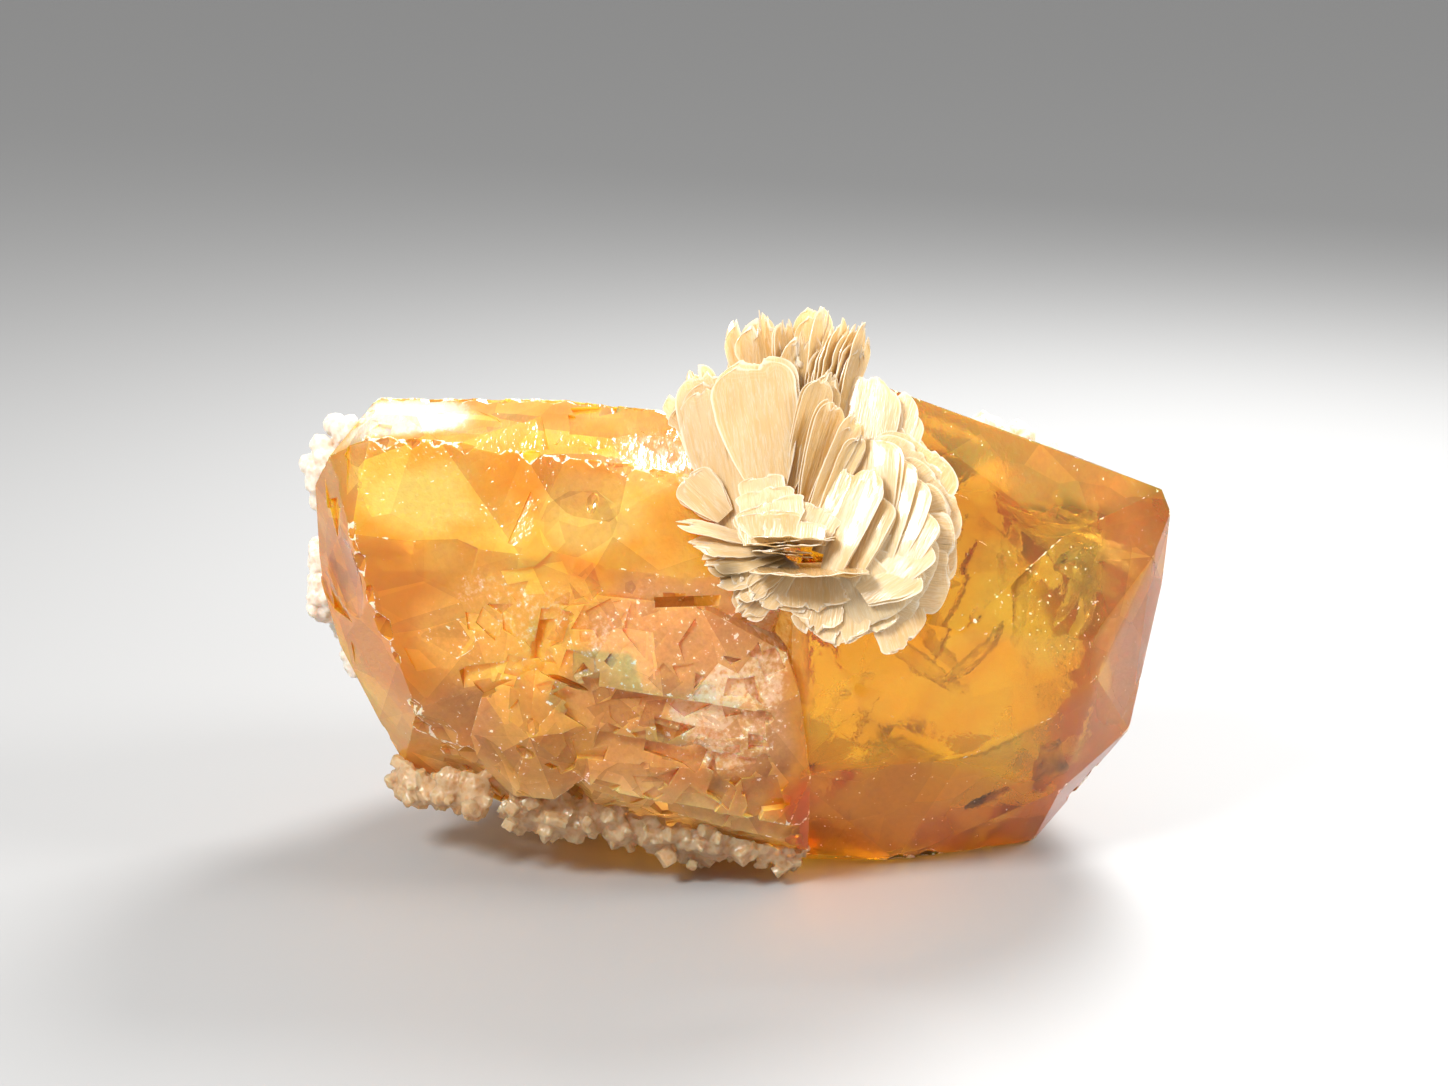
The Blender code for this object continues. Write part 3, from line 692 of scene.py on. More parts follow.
@dataclass(frozen=True)
class CrustFinish:
    """Sugary crust: cloudy grains that let some light through."""

    name: str = "crust"
    pale: Color = (0.80, 0.70, 0.58)
    deep: Color = (0.76, 0.58, 0.42)
    icy: float = 0.10
    tips: Color = (0.92, 0.87, 0.80)
    ior: float = 1.5

    def material(self) -> bpy.types.Material:
        """Return the crust's material."""
        paint = Paint(self.name)
        spot = paint.place()
        clouds = paint.noise(spot, 0.6, 3.0, 0.6)
        grain = paint.cells(spot, 2.6)
        color = paint.mix(clouds.between(0.40, 0.70), self.pale, self.deep)
        color = paint.mix(grain.between(0.25, 0.6) * 0.35, color, self.tips)
        normal = paint.bump(grain, 0.07)
        body = paint.principled(
            Base_Color=color, Roughness=0.25 + clouds * 0.25, IOR=self.ior,
            Subsurface_Weight=1.0, Subsurface_Radius=(1.0, 0.8, 0.6),
            Subsurface_Scale=0.8 * MM, Normal=normal)
        glass = paint.principled(Base_Color=color, Roughness=0.12 + clouds * 0.2, IOR=self.ior,
                                 Transmission_Weight=1.0, Normal=normal)
        return paint.finish(paint.blend(self.icy, body, glass))


@dataclass(frozen=True)
class FloorFinish:
    """A plain pale floor."""

    color: Color = (0.33, 0.328, 0.325)
    roughness: float = 0.55

    def material(self) -> bpy.types.Material:
        """Return the floor's material."""
        paint = Paint("pale_floor")
        return paint.finish(paint.principled(Base_Color=self.color, Roughness=self.roughness))


# The scheelite


@dataclass
class FractureCluster:
    """A spray of flat fractures inside the crystal, which look much the same way."""

    middle: Point
    spread: Point
    count: int
    sizes: tuple[float, float]
    facing: Point
    scatter: float
    slim: float


@dataclass
class StepField:
    """A region where flat slabs have come away from the crystal's faces."""

    middle: Point
    radii: Point
    count: int
    sizes: tuple[float, float]
    depths: tuple[float, float]

    def holds(self, point: Vector) -> bool:
        """Tell if a point lies in the region."""
        return sum(((point[i] - self.middle[i]) / self.radii[i]) ** 2 for i in range(3)) < 1.0


@dataclass
class Scheelite:
    """Both crystals and the lower blocks as one see-through solid. Angles are in radians."""

    finish: ScheeliteFinish = field(default_factory=ScheeliteFinish)
    seed: int = 41
    chip_count: int = 150
    chip_sizes: tuple[float, float] = (0.35, 0.9)
    chip_angle: float = 0.35
    chips_above: float = 1.0
    flakes: int = 90
    flaked_to: float = 4.0
    flaked_above: float = 1.5
    flake_radii: tuple[float, float] = (0.8, 3.8)
    flake_depths: tuple[float, float] = (0.08, 0.30)
    step_spots: int = 6000
    stepped_above: float = 1.2
    step_lean: float = 0.14
    step_margin: float = 0.6
    step_sides: tuple[int, ...] = (3, 4, 4, 5)
    longest_edge: float = 1.1
    edge_angle: float = 0.30
    edge_wear_sheen_width: float = 0.6
    fracture_cover: float = 0.25
    steps: tuple[StepField, ...] = (
        StepField((-14.0, -8.0, 22.0), (16.0, 14.0, 12.0), 30, (2.0, 7.0), (0.02, 0.10)),
        StepField((-10.0, -13.0, 18.0), (9.0, 6.0, 6.0), 40, (0.8, 3.6), (0.03, 0.18)),
        StepField((-3.0, -13.0, 12.0), (10.0, 6.0, 8.0), 46, (0.8, 3.4), (0.08, 0.45)),
        StepField((-6.0, -10.0, 5.0), (16.0, 7.0, 5.0), 44, (0.8, 3.0), (0.12, 0.55)),
    )
    clusters: tuple[FractureCluster, ...] = (
        FractureCluster((23.0, -4.0, 21.0), (3.0, 2.0, 2.5), 10, (2.0, 4.6), (0.3, -0.8, 0.3),
                        0.7, 0.22),
        FractureCluster((16.0, -5.0, 18.0), (3.5, 2.0, 2.5), 8, (1.6, 4.0), (-0.3, -0.7, 0.5),
                        0.8, 0.25),
        FractureCluster((-21.0, -4.0, 25.0), (4.0, 3.0, 3.0), 4, (2.0, 4.5), (0.2, -0.7, 0.6),
                        0.6, 0.7),
        FractureCluster((-8.0, -7.0, 26.0), (5.0, 3.0, 2.5), 4, (1.6, 4.2), (0.1, -0.6, 0.7),
                        0.7, 0.7),
        FractureCluster((-14.0, -8.0, 19.0), (6.0, 3.0, 4.0), 3, (1.2, 3.5), (0.0, -0.8, 0.4),
                        0.8, 0.6),
        FractureCluster((0.0, -9.0, 14.0), (6.0, 3.0, 5.0), 3, (1.2, 3.2), (0.1, -0.8, 0.4),
                        0.8, 0.6),
        FractureCluster((18.0, -4.0, 9.0), (5.0, 3.0, 2.5), 4, (1.5, 3.5), (0.2, -0.7, -0.3),
                        0.8, 0.4),
    )

    def build(self) -> bpy.types.Object:
        """Model the crystal and dress it.

        Returns:
            The finished piece.
        """
        draw = random.Random(self.seed)
        body = merged_copy("scheelite_crystal", "scheelite")
        lines = self.sharp_lines(body)
        cut(body, [*self.flake_tools(body, draw), *self.chip_tools(body, draw),
                   *self.step_tools(body, draw)])
        self.refine(body)
        edge_wear_sheen_and_veil = self.edge_wear_and_sheen(body, lines)
        outer = len(body.data.vertices)
        body = joined([body, *self.fractures(body, draw)], "scheelite")
        self.store_paint(body, edge_wear_sheen_and_veil, outer)
        smooth(body, 24.0)
        body.data.materials.append(self.finish.material())
        body.data.materials.append(self.finish.hollow_material())
        hollow = np.array([face.vertices[0] >= outer for face in body.data.polygons])
        body.data.polygons.foreach_set("material_index", hollow.astype(np.int32))
        hand_over(body, "scheelite_crystal")
        return body

    def surface_points(self, body: bpy.types.Object, count: int, draw: random.Random,
                       ) -> list[tuple[Vector, Vector]]:
        """Draw points on the crystal's surface.

        Args:
            body: The crystal.
            count: How many points.
            draw: The crystal's random numbers.

        Returns:
            Each point and the way that the surface looks there.
        """
        faces = list(body.data.polygons)
        spots = []
        for face in draw.choices(faces, weights=[face.area for face in faces], k=count):
            a, b, c = [body.data.vertices[i].co / MM for i in face.vertices][:3]
            u, v = draw.random(), draw.random()
            if u + v > 1.0:
                u, v = 1.0 - u, 1.0 - v
            spots.append((a + (b - a) * u + (c - a) * v, face.normal.copy()))
        return spots

    def flake_tools(self, body: bpy.types.Object, draw: random.Random) -> list[bpy.types.Object]:
        """Model flat lumps that take shallow shell-shaped flakes off the faces.

        Args:
            body: The crystal.
            draw: The crystal's random numbers.

        Returns:
            The lumps.
        """
        tools = []
        for point, facing in self.surface_points(body, self.flakes, draw):
            long = draw.uniform(*self.flake_radii)
            wide = long * draw.uniform(0.4, 0.9)
            deep = draw.uniform(*self.flake_depths)
            seed = draw.uniform(0.0, SEEDS)
            turn, spin = facing_turn(facing), spun(draw)
            if point.z < self.flaked_above or facing.z < -0.8 or point.x > self.flaked_to:
                continue
            tool = BLANK.ball(2)
            flat = points_of(tool.data)
            jag = np.array([1.0 + 0.2 * round_noise(angle, 2.5, seed)
                            for angle in np.arctan2(flat[:, 1], flat[:, 0])])
            reach = np.stack([long * jag, wide * jag, np.full(len(jag), deep)], 1)
            set_points(tool.data, flat * reach)
            tool.data.transform(Matrix.Translation(point * MM) @ turn @ spin)
            tools.append(tool)
        return tools

    def step_tools(self, body: bpy.types.Object, draw: random.Random) -> list[bpy.types.Object]:
        """Model flat slabs, set a little askew, that leave straight-edged steps.

        Args:
            body: The crystal.
            draw: The crystal's random numbers.

        Returns:
            The slabs.
        """
        tools = []
        spots = [(point, facing)
                 for point, facing in self.surface_points(body, self.step_spots, draw)
                 if point.z > self.stepped_above and facing.z > -0.85 and point.x < self.flaked_to]
        for steps in self.steps:
            near = [spot for spot in spots if steps.holds(spot[0])]
            for point, facing in draw.sample(near, min(steps.count, len(near))):
                deep = draw.uniform(*steps.depths)
                size = draw.uniform(*steps.sizes)
                tall = deep + self.step_margin
                lean = scattered(draw, self.step_lean)
                turn = facing_turn((facing + lean).normalized(), "X")
                spin = spun(draw)
                wide = size * draw.uniform(0.25, 0.6)
                shape = Matrix.Diagonal((size * 0.6, wide, tall * 0.5, 1.0)) @ spun(draw)
                lift = Matrix.Translation((0.0, 0.0, (tall * 0.5 - deep)))
                tool = BLANK.prism(draw.choice(self.step_sides))
                tool.data.transform(Matrix.Scale(MM, 4) @ Matrix.Translation(point) @ turn @ spin
                                    @ lift @ shape @ Matrix.Scale(1.0 / MM, 4))
                tools.append(tool)
        return tools

    def chip_tools(self, body: bpy.types.Object, draw: random.Random) -> list[bpy.types.Object]:
        """Model small uneven lumps that chip the sharp edges.

        Args:
            body: The crystal.
            draw: The crystal's random numbers.

        Returns:
            The lumps.
        """
        tools = []
        with opened(body.data, False) as bm:
            sharp = self.ridges(bm, self.chip_angle)
            lengths = [edge.calc_length() for edge in sharp]
            for edge in draw.choices(sharp, weights=lengths, k=self.chip_count):
                point = edge.verts[0].co.lerp(edge.verts[1].co, draw.random()) / MM
                if point.z < self.chips_above:
                    continue
                out = (edge.link_faces[0].normal + edge.link_faces[1].normal).normalized()
                size = draw.uniform(*self.chip_sizes) * draw.uniform(0.7, 1.2)
                stretch = [size * draw.uniform(0.7, 1.6) for _ in range(3)]
                shape = spun(draw, scattered(draw).normalized()) @ Matrix.Diagonal((*stretch, 1.0))
                middle = point + out * size * draw.uniform(0.7, 1.0)
                tool = BLANK.ball(2)
                tool.data.transform(Matrix.Translation(middle * MM) @ shape)
                tools.append(tool)
        return tools

    def ridges(self, bm: bmesh.types.BMesh, angle: float) -> list[bmesh.types.BMEdge]:
        """Return the edges that stand out and turn by more than an angle."""
        return [edge for edge in bm.edges
                if edge.is_manifold and edge.calc_face_angle_signed() > angle]

    def refine(self, body: bpy.types.Object) -> None:
        """Split long edges until the mesh is even enough to carry edge wear and the painted edge
        highlight.
        """
        with opened(body.data) as bm:
            bmesh.ops.triangulate(bm, faces=bm.faces)
            for _ in range(6):
                long = [edge for edge in bm.edges if edge.calc_length() > self.longest_edge * MM]
                if not long:
                    break
                bmesh.ops.subdivide_edges(bm, edges=long, cuts=1)
                bmesh.ops.triangulate(bm, faces=bm.faces)
            bm.normal_update()

    def sharp_lines(self, body: bpy.types.Object) -> KDTree:
        """String points along the crystal's main edges.

        Args:
            body: The crystal.

        Returns:
            The points in millimetres, to be searched by place.
        """
        strung = []
        with opened(body.data, False) as bm:
            for edge in self.ridges(bm, self.edge_angle):
                parts = max(2, int(edge.calc_length() / MM / self.edge_wear_sheen_width * 2.0))
                strung += [edge.verts[0].co.lerp(edge.verts[1].co, i / parts) / MM
                           for i in range(parts + 1)]
        lines = KDTree(len(strung))
        for i, point in enumerate(strung):
            lines.insert(point, i)
        lines.balance()
        return lines

    def edge_wear_and_sheen(self, body: bpy.types.Object, lines: KDTree) -> np.ndarray:
        """Return the edge wear and painted edge highlight of each point: 1 on a main edge, 0 away
        from it.
        """
        return np.array([1.0 - min(1.0, lines.find(Vector(point))[2] / self.edge_wear_sheen_width)
                         for point in points_of(body.data)])

    def store_paint(self, body: bpy.types.Object, edge_wear_sheen_and_veil: np.ndarray, outer: int) -> None:
        """Store colour on the outside, with edge wear that is also painted as an edge highlight,
        and how silvery the hollows are.

        Args:
            body: The crystal with its hollows.
            edge_wear_sheen_and_veil: The edge wear and painted edge highlight of the outer points.
            outer: How many points are on the outside. They come first.
        """
        mesh = body.data
        points = points_of(mesh)
        corners = numbers(mesh.loops, "vertex_index", kind=int)
        facings = np.repeat(numbers(mesh.polygons, "normal", 3),
                            numbers(mesh.polygons, "loop_total", kind=int), axis=0)
        within = corners < outer
        for name, values in self.finish.painted(points[:outer], facings[within],
                                                corners[within]).items():
            full = np.ones((len(corners), 3)) if values.ndim == 2 else np.zeros(len(corners))
            full[within] = values
            store(mesh, name, full, "CORNER")
        veils = [0.5 + noise.noise(Vector(point) * 1.2) * 1.3 for point in points[outer:]]
        # The outside keeps its edge wear with the painted edge highlight here; the hollows keep
        # their veil.
        store(mesh, "edge_wear_sheen_and_veil", np.concatenate([edge_wear_sheen_and_veil, np.clip(veils, 0.0, 1.0)]))

    def fractures(self, body: bpy.types.Object, draw: random.Random) -> list[bpy.types.Object]:
        """Model the flat hollows inside the crystal, with their faces turned inwards.

        Args:
            body: The crystal.
            draw: The crystal's random numbers.

        Returns:
            The hollows that lie well inside.
        """
        tree = surface_of(body)
        made = []
        for cluster in self.clusters:
            for _ in range(cluster.count):
                veil = self.fracture(cluster, draw)
                if self.is_inside(veil, tree):
                    made.append(veil)
                else:
                    bpy.data.objects.remove(veil)
        return made

    def fracture(self, cluster: FractureCluster, draw: random.Random) -> bpy.types.Object:
        """Model one flat hollow: a thin curved flake with an uneven outline.

        Args:
            cluster: The spray it belongs to.
            draw: The crystal's random numbers.

        Returns:
            The hollow.
        """
        veil = BLANK.ball(3)
        size = draw.uniform(*cluster.sizes)
        slim = draw.uniform(0.6, 1.3) * cluster.slim
        curl = draw.uniform(-0.12, 0.12)
        seed = draw.uniform(0.0, SEEDS)
        points = points_of(veil.data)
        for point in points:
            jag = 1.0 + 0.45 * round_noise(math.atan2(point[1], point[0]), 2.2, seed)
            x, y = point[0] * size * jag, point[1] * size * slim * jag
            ripple = 0.05 * noise.noise(Vector((x * 1.4, y * 1.4, seed)))
            point[:] = x, y, point[2] * 0.018 * size + curl * (x * x + y * y) / size + ripple
        lean = scattered(draw) * cluster.scatter
        turn = facing_turn((Vector(cluster.facing).normalized() + lean).normalized())
        spin = spun(draw)
        away = [draw.uniform(-1.0, 1.0) * reach for reach in cluster.spread]
        middle = Vector(cluster.middle) + Vector(away)
        set_points(veil.data, points)
        veil.data.transform(Matrix.Translation(middle * MM) @ turn @ spin)
        veil.data.flip_normals()
        return veil

    def is_inside(self, veil: bpy.types.Object, tree: BVHTree) -> bool:
        """Tell if a hollow lies well inside the crystal.

        Args:
            veil: The hollow.
            tree: The crystal's surface.

        Returns:
            Whether there is enough crystal between every point and the surface.
        """
        for vert in veil.data.vertices:
            point = vert.co / MM
            spot, facing, _, away = tree.find_nearest(point)
            if away < self.fracture_cover or (point - spot).dot(facing) > 0.0:
                return False
        return True


# The muscovite


class Outline(Enum):
    """How the rim of a sheet has grown or torn: the sizes of its long and short waves."""

    SMOOTH = (0.05, 0.012)
    WAVY = (0.09, 0.035)
    TORN = (0.12, 0.09)

    def missing(self, spots: Sequence[Point], swell: float, tears: float) -> float:
        """Work out the share of a sheet that is missing at a place on its rim.

        Args:
            spots: The places in the noise of the long waves, the short waves and the tears.
            swell: What the size of the long waves is multiplied by.
            tears: The size of the tears beside that of the short waves.

        Returns:
            The share, which is below 0 where the sheet stands out.
        """
        slow, fast = self.value
        long, short, torn = [Vector(spot) for spot in spots]
        return (slow * swell * noise.noise(long) + fast * noise.noise(short)
                + fast * tears * noise.cell(torn))


@dataclass(frozen=True)
class Book:
    """A few sheets on each other. Points are right of, above and in front of the hub."""

    root: Point
    tip: Point
    width: float
    facing: Point
    outline: Outline
    cup: float
    foot: float = 0.45
    skew: float = 0.0
    layers: int = 2

    def towards(self, other: "Book", share: float) -> "Book":
        """Work out the book that lies part of the way to another one.

        Args:
            other: The other book.
            share: How far along the way, from 0 to 1.

        Returns:
            The book in between, with this one's layers and outline.
        """
        points = {name: tuple(Vector(getattr(self, name)).lerp(Vector(getattr(other, name)), share))
                  for name in ("root", "tip", "facing")}
        sizes = {name: getattr(self, name) + (getattr(other, name) - getattr(self, name)) * share
                 for name in ("width", "cup", "foot", "skew")}
        return replace(self, **points, **sizes)


def sweep(count: int, *marks: Book) -> tuple[Book, ...]:
    """Spread books evenly over the way from the first mark to the last.

    Args:
        count: How many books.
        *marks: Books that the way passes through.

    Returns:
        The books.
    """
    books = []
    for i in range(count):
        way = i / max(1, count - 1) * (len(marks) - 1)
        step = min(int(way), len(marks) - 2)
        books.append(marks[step].towards(marks[step + 1], way - step))
    return tuple(books)


@dataclass
class MuscovitePiece:
    """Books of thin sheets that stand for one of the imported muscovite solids."""

    node: str
    books: tuple[Book, ...]
    seed: int
    finish: MicaFinish
    hub: Point = (4.8, -12.5, 26.0)
    tilt: float = math.radians(15.0)
    gap: float = 0.15
    thickness: float = 0.06
    lift: float = 0.08
    lift_step: float = 0.10
    drape: float = 1.6
    columns: int = 18
    rows: int = 26
    # Pockets under the middle and at the lower left, darkened as partly real stain and partly
    # painted shade.
    stained_and_shaded: tuple[tuple[Point, Point], ...] = (
        ((3.9, -14.9, 24.6), (2.6, 2.4, 0.55)), ((-0.2, -15.0, 23.8), (1.1, 2.0, 0.8)))

    def build(self, crystal: BVHTree) -> bpy.types.Object:
        """Model all the sheets, lay them on the crystal where they meet it, and dress them.

        Args:
            crystal: The crystal's surface, in millimetres.

        Returns:
            The finished piece.
        """
        draw = random.Random(self.seed)
        sheets = []
        for book in self.books:
            for layer in range(book.layers):
                sheet = self.sheet(book, layer, draw)
                self.trim(sheet, crystal, self.lift + self.lift_step * layer)
                if len(sheet.data.polygons):
                    sheets.append(sheet)
                else:
                    bpy.data.objects.remove(sheet)
        piece = joined(sheets, self.node + "_sheets")
        apply_modifier(piece, "SOLIDIFY", thickness=self.thickness * MM, offset=0.0)
        smooth(piece, 50.0)
        piece.data.materials.append(self.finish.material())
        hand_over(piece, self.node)
        return piece

    def from_hub(self, point: Sequence[float]) -> Vector:
        """Turn a direction from the hub's axes into the part's.

        Args:
            point: How far right, up and forward.

        Returns:
            The same in the part's frame.
        """
        up = Vector((0.0, math.sin(self.tilt), math.cos(self.tilt)))
        out = Vector((0.0, -math.cos(self.tilt), math.sin(self.tilt)))
        return Vector((point[0], 0.0, 0.0)) + up * point[1] + out * point[2]

    def sheet(self, book: Book, layer: int, draw: random.Random) -> bpy.types.Object:
        """Model one sheet of a book as a flat grid bent into its leaf.

        Args:
            book: The book it belongs to.
            layer: Its place in the book, 0 at the front.
            draw: The piece's random numbers.

        Returns:
            The sheet, with no thickness yet.
        """
        stem = self.from_hub(Vector(book.tip) - Vector(book.root))
        length = stem.length * draw.uniform(0.93, 1.03)
        width = book.width * draw.uniform(0.92, 1.06)
        axis = stem.normalized()
        side = axis.cross(self.from_hub(book.facing)).normalized()
        turn = Matrix.Rotation(draw.uniform(-0.05, 0.05) * (1 + layer), 3, axis)
        side = (turn @ side).normalized()
        normal = side.cross(axis).normalized()
        lean = Matrix.Rotation(draw.uniform(-0.05, 0.05) * layer, 3, normal)
        axis, side = (lean @ axis).normalized(), (lean @ side).normalized()
        base = Vector(self.hub) + self.from_hub(book.root) - normal * layer * self.gap

        made = BLANK.grid(self.columns, self.rows)
        flat = points_of(made.data)
        across, along = flat[:, 0], 0.5 * (flat[:, 1] + 1.0)
        reach = np.sin(0.5 * np.pi * along)
        seed = draw.uniform(0.0, SEEDS)
        edge = np.array([book.outline.missing(
            ((r * 2.6, side_line, seed), (r * 13.0, side_line, seed + 7.0),
             (r * 5.0, side_line, seed)), 1.0, 0.8)
            for r, side_line in zip(reach, 10.0 * (across > 0.0))])
        tip = np.array([book.outline.missing(
            ((x * 1.5, 3.0, seed), (x * 6.0, 5.0, seed), (x * 2.6, 8.0, seed)), 1.2, 0.9)
            for x in across])
        half = width * self.half_width(reach, book.foot)
        spread = across * half * (1.0 - edge)
        stretch = reach * length * (1.0 - tip * reach * reach) + book.skew * spread * reach
        wave, fine, folds = (
            np.array([noise.noise(Vector((x * wide, y * high, seed + at)))
                      for x, y in zip(spread, stretch)])
            for wide, high, at in ((0.30, 0.25, 0.0), (1.1, 0.7, 50.0), (1.2, 0.07, 90.0)))
        rim = np.maximum(np.abs(across), np.clip((reach - 0.3) / 0.7, 0.0, 1.0) ** 3)
        bulge = (book.cup * (0.4 * across * across + reach * reach) + wave * 0.18
                 + fine * 0.07 * rim + folds * 0.14 * reach)
        points = (np.array(base) + np.outer(stretch, np.array(axis))
                  + np.outer(spread, np.array(side)) + np.outer(bulge, np.array(normal)))
        layers = made.data.uv_layers
        plan = layers[0] if layers else layers.new(name="sheet")
        plan.name = "sheet"
        corners = numbers(made.data.loops, "vertex_index", kind=int)
        places = np.stack([spread, stretch], axis=1)[corners] + seed
        plan.data.foreach_set("uv", places.astype(np.float32).ravel())
        store(made.data, "rim", rim)
        store(made.data, "own", np.full(len(flat), draw.random()))
        store(made.data, "stain_and_shade", self.stain_and_shade_of(points))
        set_points(made.data, points)
        return made

    def half_width(self, reach: np.ndarray, foot: float) -> np.ndarray:
        """Work out a sheet's half width: narrow foot, broad middle, blunt tip.

        Args:
            reach: The share of the length.
            foot: The foot's width as a share of the broadest.

        Returns:
            Half the width there, where the broadest is 1.
        """
        opening = foot + (1.0 - foot) * np.sin(0.5 * np.pi * np.minimum(1.0, reach / 0.85))
        past = np.clip((reach - 0.80) / 0.21, 0.0, 1.0)
        return 0.5 * opening * np.sqrt(np.maximum(0.0, 1.0 - past ** 2.8))

    def stain_and_shade_of(self, points: np.ndarray) -> np.ndarray:
        """Work out the darkening in the pockets under the middle and at the lower left: partly
        brown stain, partly painted shade.

        Args:
            points: The sheet's points in millimetres.

        Returns:
            How stained each point is.
        """
        stain_and_shade = np.zeros(len(points))
        for middle, radii in self.stained_and_shaded:
            away = np.linalg.norm((points - np.array(middle)) / np.array(radii), axis=1)
            stain_and_shade = np.maximum(stain_and_shade, np.clip(1.4 - away, 0.0, 1.0) * 0.9)
        return stain_and_shade

    def trim(self, sheet: bpy.types.Object, crystal: BVHTree, lift: float) -> None:
        """Cut away what lies deep in the crystal and lay the rest on its surface.

        Args:
            sheet: The sheet.
            crystal: The crystal's surface, in millimetres.
            lift: How high above the surface the sheet comes to lie.
        """
        with opened(sheet.data) as bm:
            deep = []
            for vert in bm.verts:
                spot, facing, _, _ = crystal.find_nearest(vert.co / MM)
                depth = (spot - vert.co / MM).dot(facing)
                if depth > -lift:
                    vert.co = (spot + facing * lift) * MM
                if depth > self.drape:
                    deep.append(vert)
            bmesh.ops.delete(bm, geom=deep, context="VERTS")


# The white crust


@dataclass
class CrustPatch:
    """One patch of crust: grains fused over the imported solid."""

    node: str
    seed: int
    grains: int
    sizes: tuple[float, float] = (0.30, 0.75)
    angular: bool = False
    spill: float = 0.0
    voxel: float = 0.12
    roughness: float = 0.06

    def build(self, finish: CrustFinish) -> bpy.types.Object:
        """Model the patch and dress it.

        Args:
            finish: The patch's finish.

        Returns:
            The finished piece.
        """
        draw = random.Random(self.seed)
        core = merged_copy(self.node, self.node + "_grains")
        faces = list(core.data.polygons)
        grains = [core]
        for face in draw.choices(faces, weights=[f.area for f in faces], k=self.grains):
            size = draw.uniform(*self.sizes)
            grain = BLANK.prism(draw.choice((4, 5, 6))) if self.angular else BLANK.ball(2)
            stretch = [size * draw.uniform(0.6, 1.25) for _ in range(3)]
            middle = face.center / MM - face.normal * size * draw.uniform(0.2, 0.7)
            middle += scattered(draw, self.spill)
            angle = draw.uniform(0.0, math.tau)
            turn = Matrix.Rotation(angle, 4, Vector((draw.random(), 1.0, draw.random())))
            shape = Matrix.Diagonal((*stretch, 1.0))
            grain.data.transform(Matrix.Translation(middle * MM) @ turn @ shape)
            grains.append(grain)
        piece = joined(grains, self.node + "_grains")
        apply_modifier(piece, "REMESH", mode="VOXEL", voxel_size=self.voxel * MM)
        apply_modifier(piece, "SMOOTH", factor=0.5, iterations=1 if self.angular else 2)
        points, normals = points_of(piece.data), numbers(piece.data.vertices, "normal", 3)
        rough = np.array([noise.noise(Vector(point) * 2.6) + 0.5 * noise.noise(Vector(point) * 6.0)
                          for point in points])
        set_points(piece.data, points + normals * rough[:, None] * self.roughness)
        smooth(piece, 40.0)
        piece.data.materials.clear()
        piece.data.materials.append(finish.material())
        hand_over(piece, self.node)
        return piece


# The studio


@dataclass(frozen=True)
class SoftLight:
    """A large lamp with soft edges."""

    name: str
    place: Point
    aim: Point
    size: float
    power: float

    def build(self) -> None:
        """Add the lamp."""
        lamp = bpy.data.lights.new(self.name, "AREA")
        lamp.shape = "DISK"
        lamp.size = self.size * MM
        lamp.energy = self.power
        made = placed(self.name, lamp)
        made.location = Vector(self.place) * MM
        way = Vector(self.aim) - Vector(self.place)
        made.rotation_euler = way.to_track_quat("-Z", "Y").to_euler()


@dataclass
class Studio:
    """The floor, the lamps, the sky and the camera. Floor width and clip are in metres."""

    lamps: tuple[SoftLight, ...] = (
        SoftLight("key", (-150.0, -170.0, 230.0), (0.0, 0.0, 18.0), 100.0, 1.15),
        SoftLight("back", (60.0, 130.0, 150.0), (0.0, 0.0, 18.0), 90.0, 0.62),
        SoftLight("side", (190.0, -60.0, 190.0), (5.0, -8.0, 24.0), 110.0, 0.42),
    )
    sky: float = 0.58
    floor_width: float = 4.0
    lens: float = 85.0
    sensor: float = 36.0
    clip: tuple[float, float] = (0.005, 20.0)
    camera: Point = (-0.27, -233.62, 84.253)
    pitch: float = math.radians(75.0)

    def build(self) -> None:
        """Set up the floor, the lamps, the sky and the camera."""
        bpy.ops.object.select_all(action="DESELECT")
        bpy.ops.mesh.primitive_plane_add(size=self.floor_width, location=(0.0, 0.0, 0.0))
        floor = bpy.context.view_layer.objects.active
        floor.name = "floor"
        floor.data.materials.append(FloorFinish().material())
        for lamp in self.lamps:
            lamp.build()
        world = bpy.data.worlds.new("studio")
        world.use_nodes = True
        sky = world.node_tree.nodes["Background"]
        sky.inputs["Color"].default_value = (1.0, 1.0, 1.0, 1.0)
        sky.inputs["Strength"].default_value = self.sky
        scene = bpy.context.scene
        scene.world = world
        scene.view_settings.view_transform = "Standard"
        eye = bpy.data.cameras.new("camera")
        eye.lens = self.lens
        eye.sensor_width = self.sensor
        eye.clip_start, eye.clip_end = self.clip
        scene.camera = placed("camera", eye)
        scene.camera.location = Vector(self.camera) * MM
        scene.camera.rotation_euler = (self.pitch, 0.0, 0.0)


# The specimen


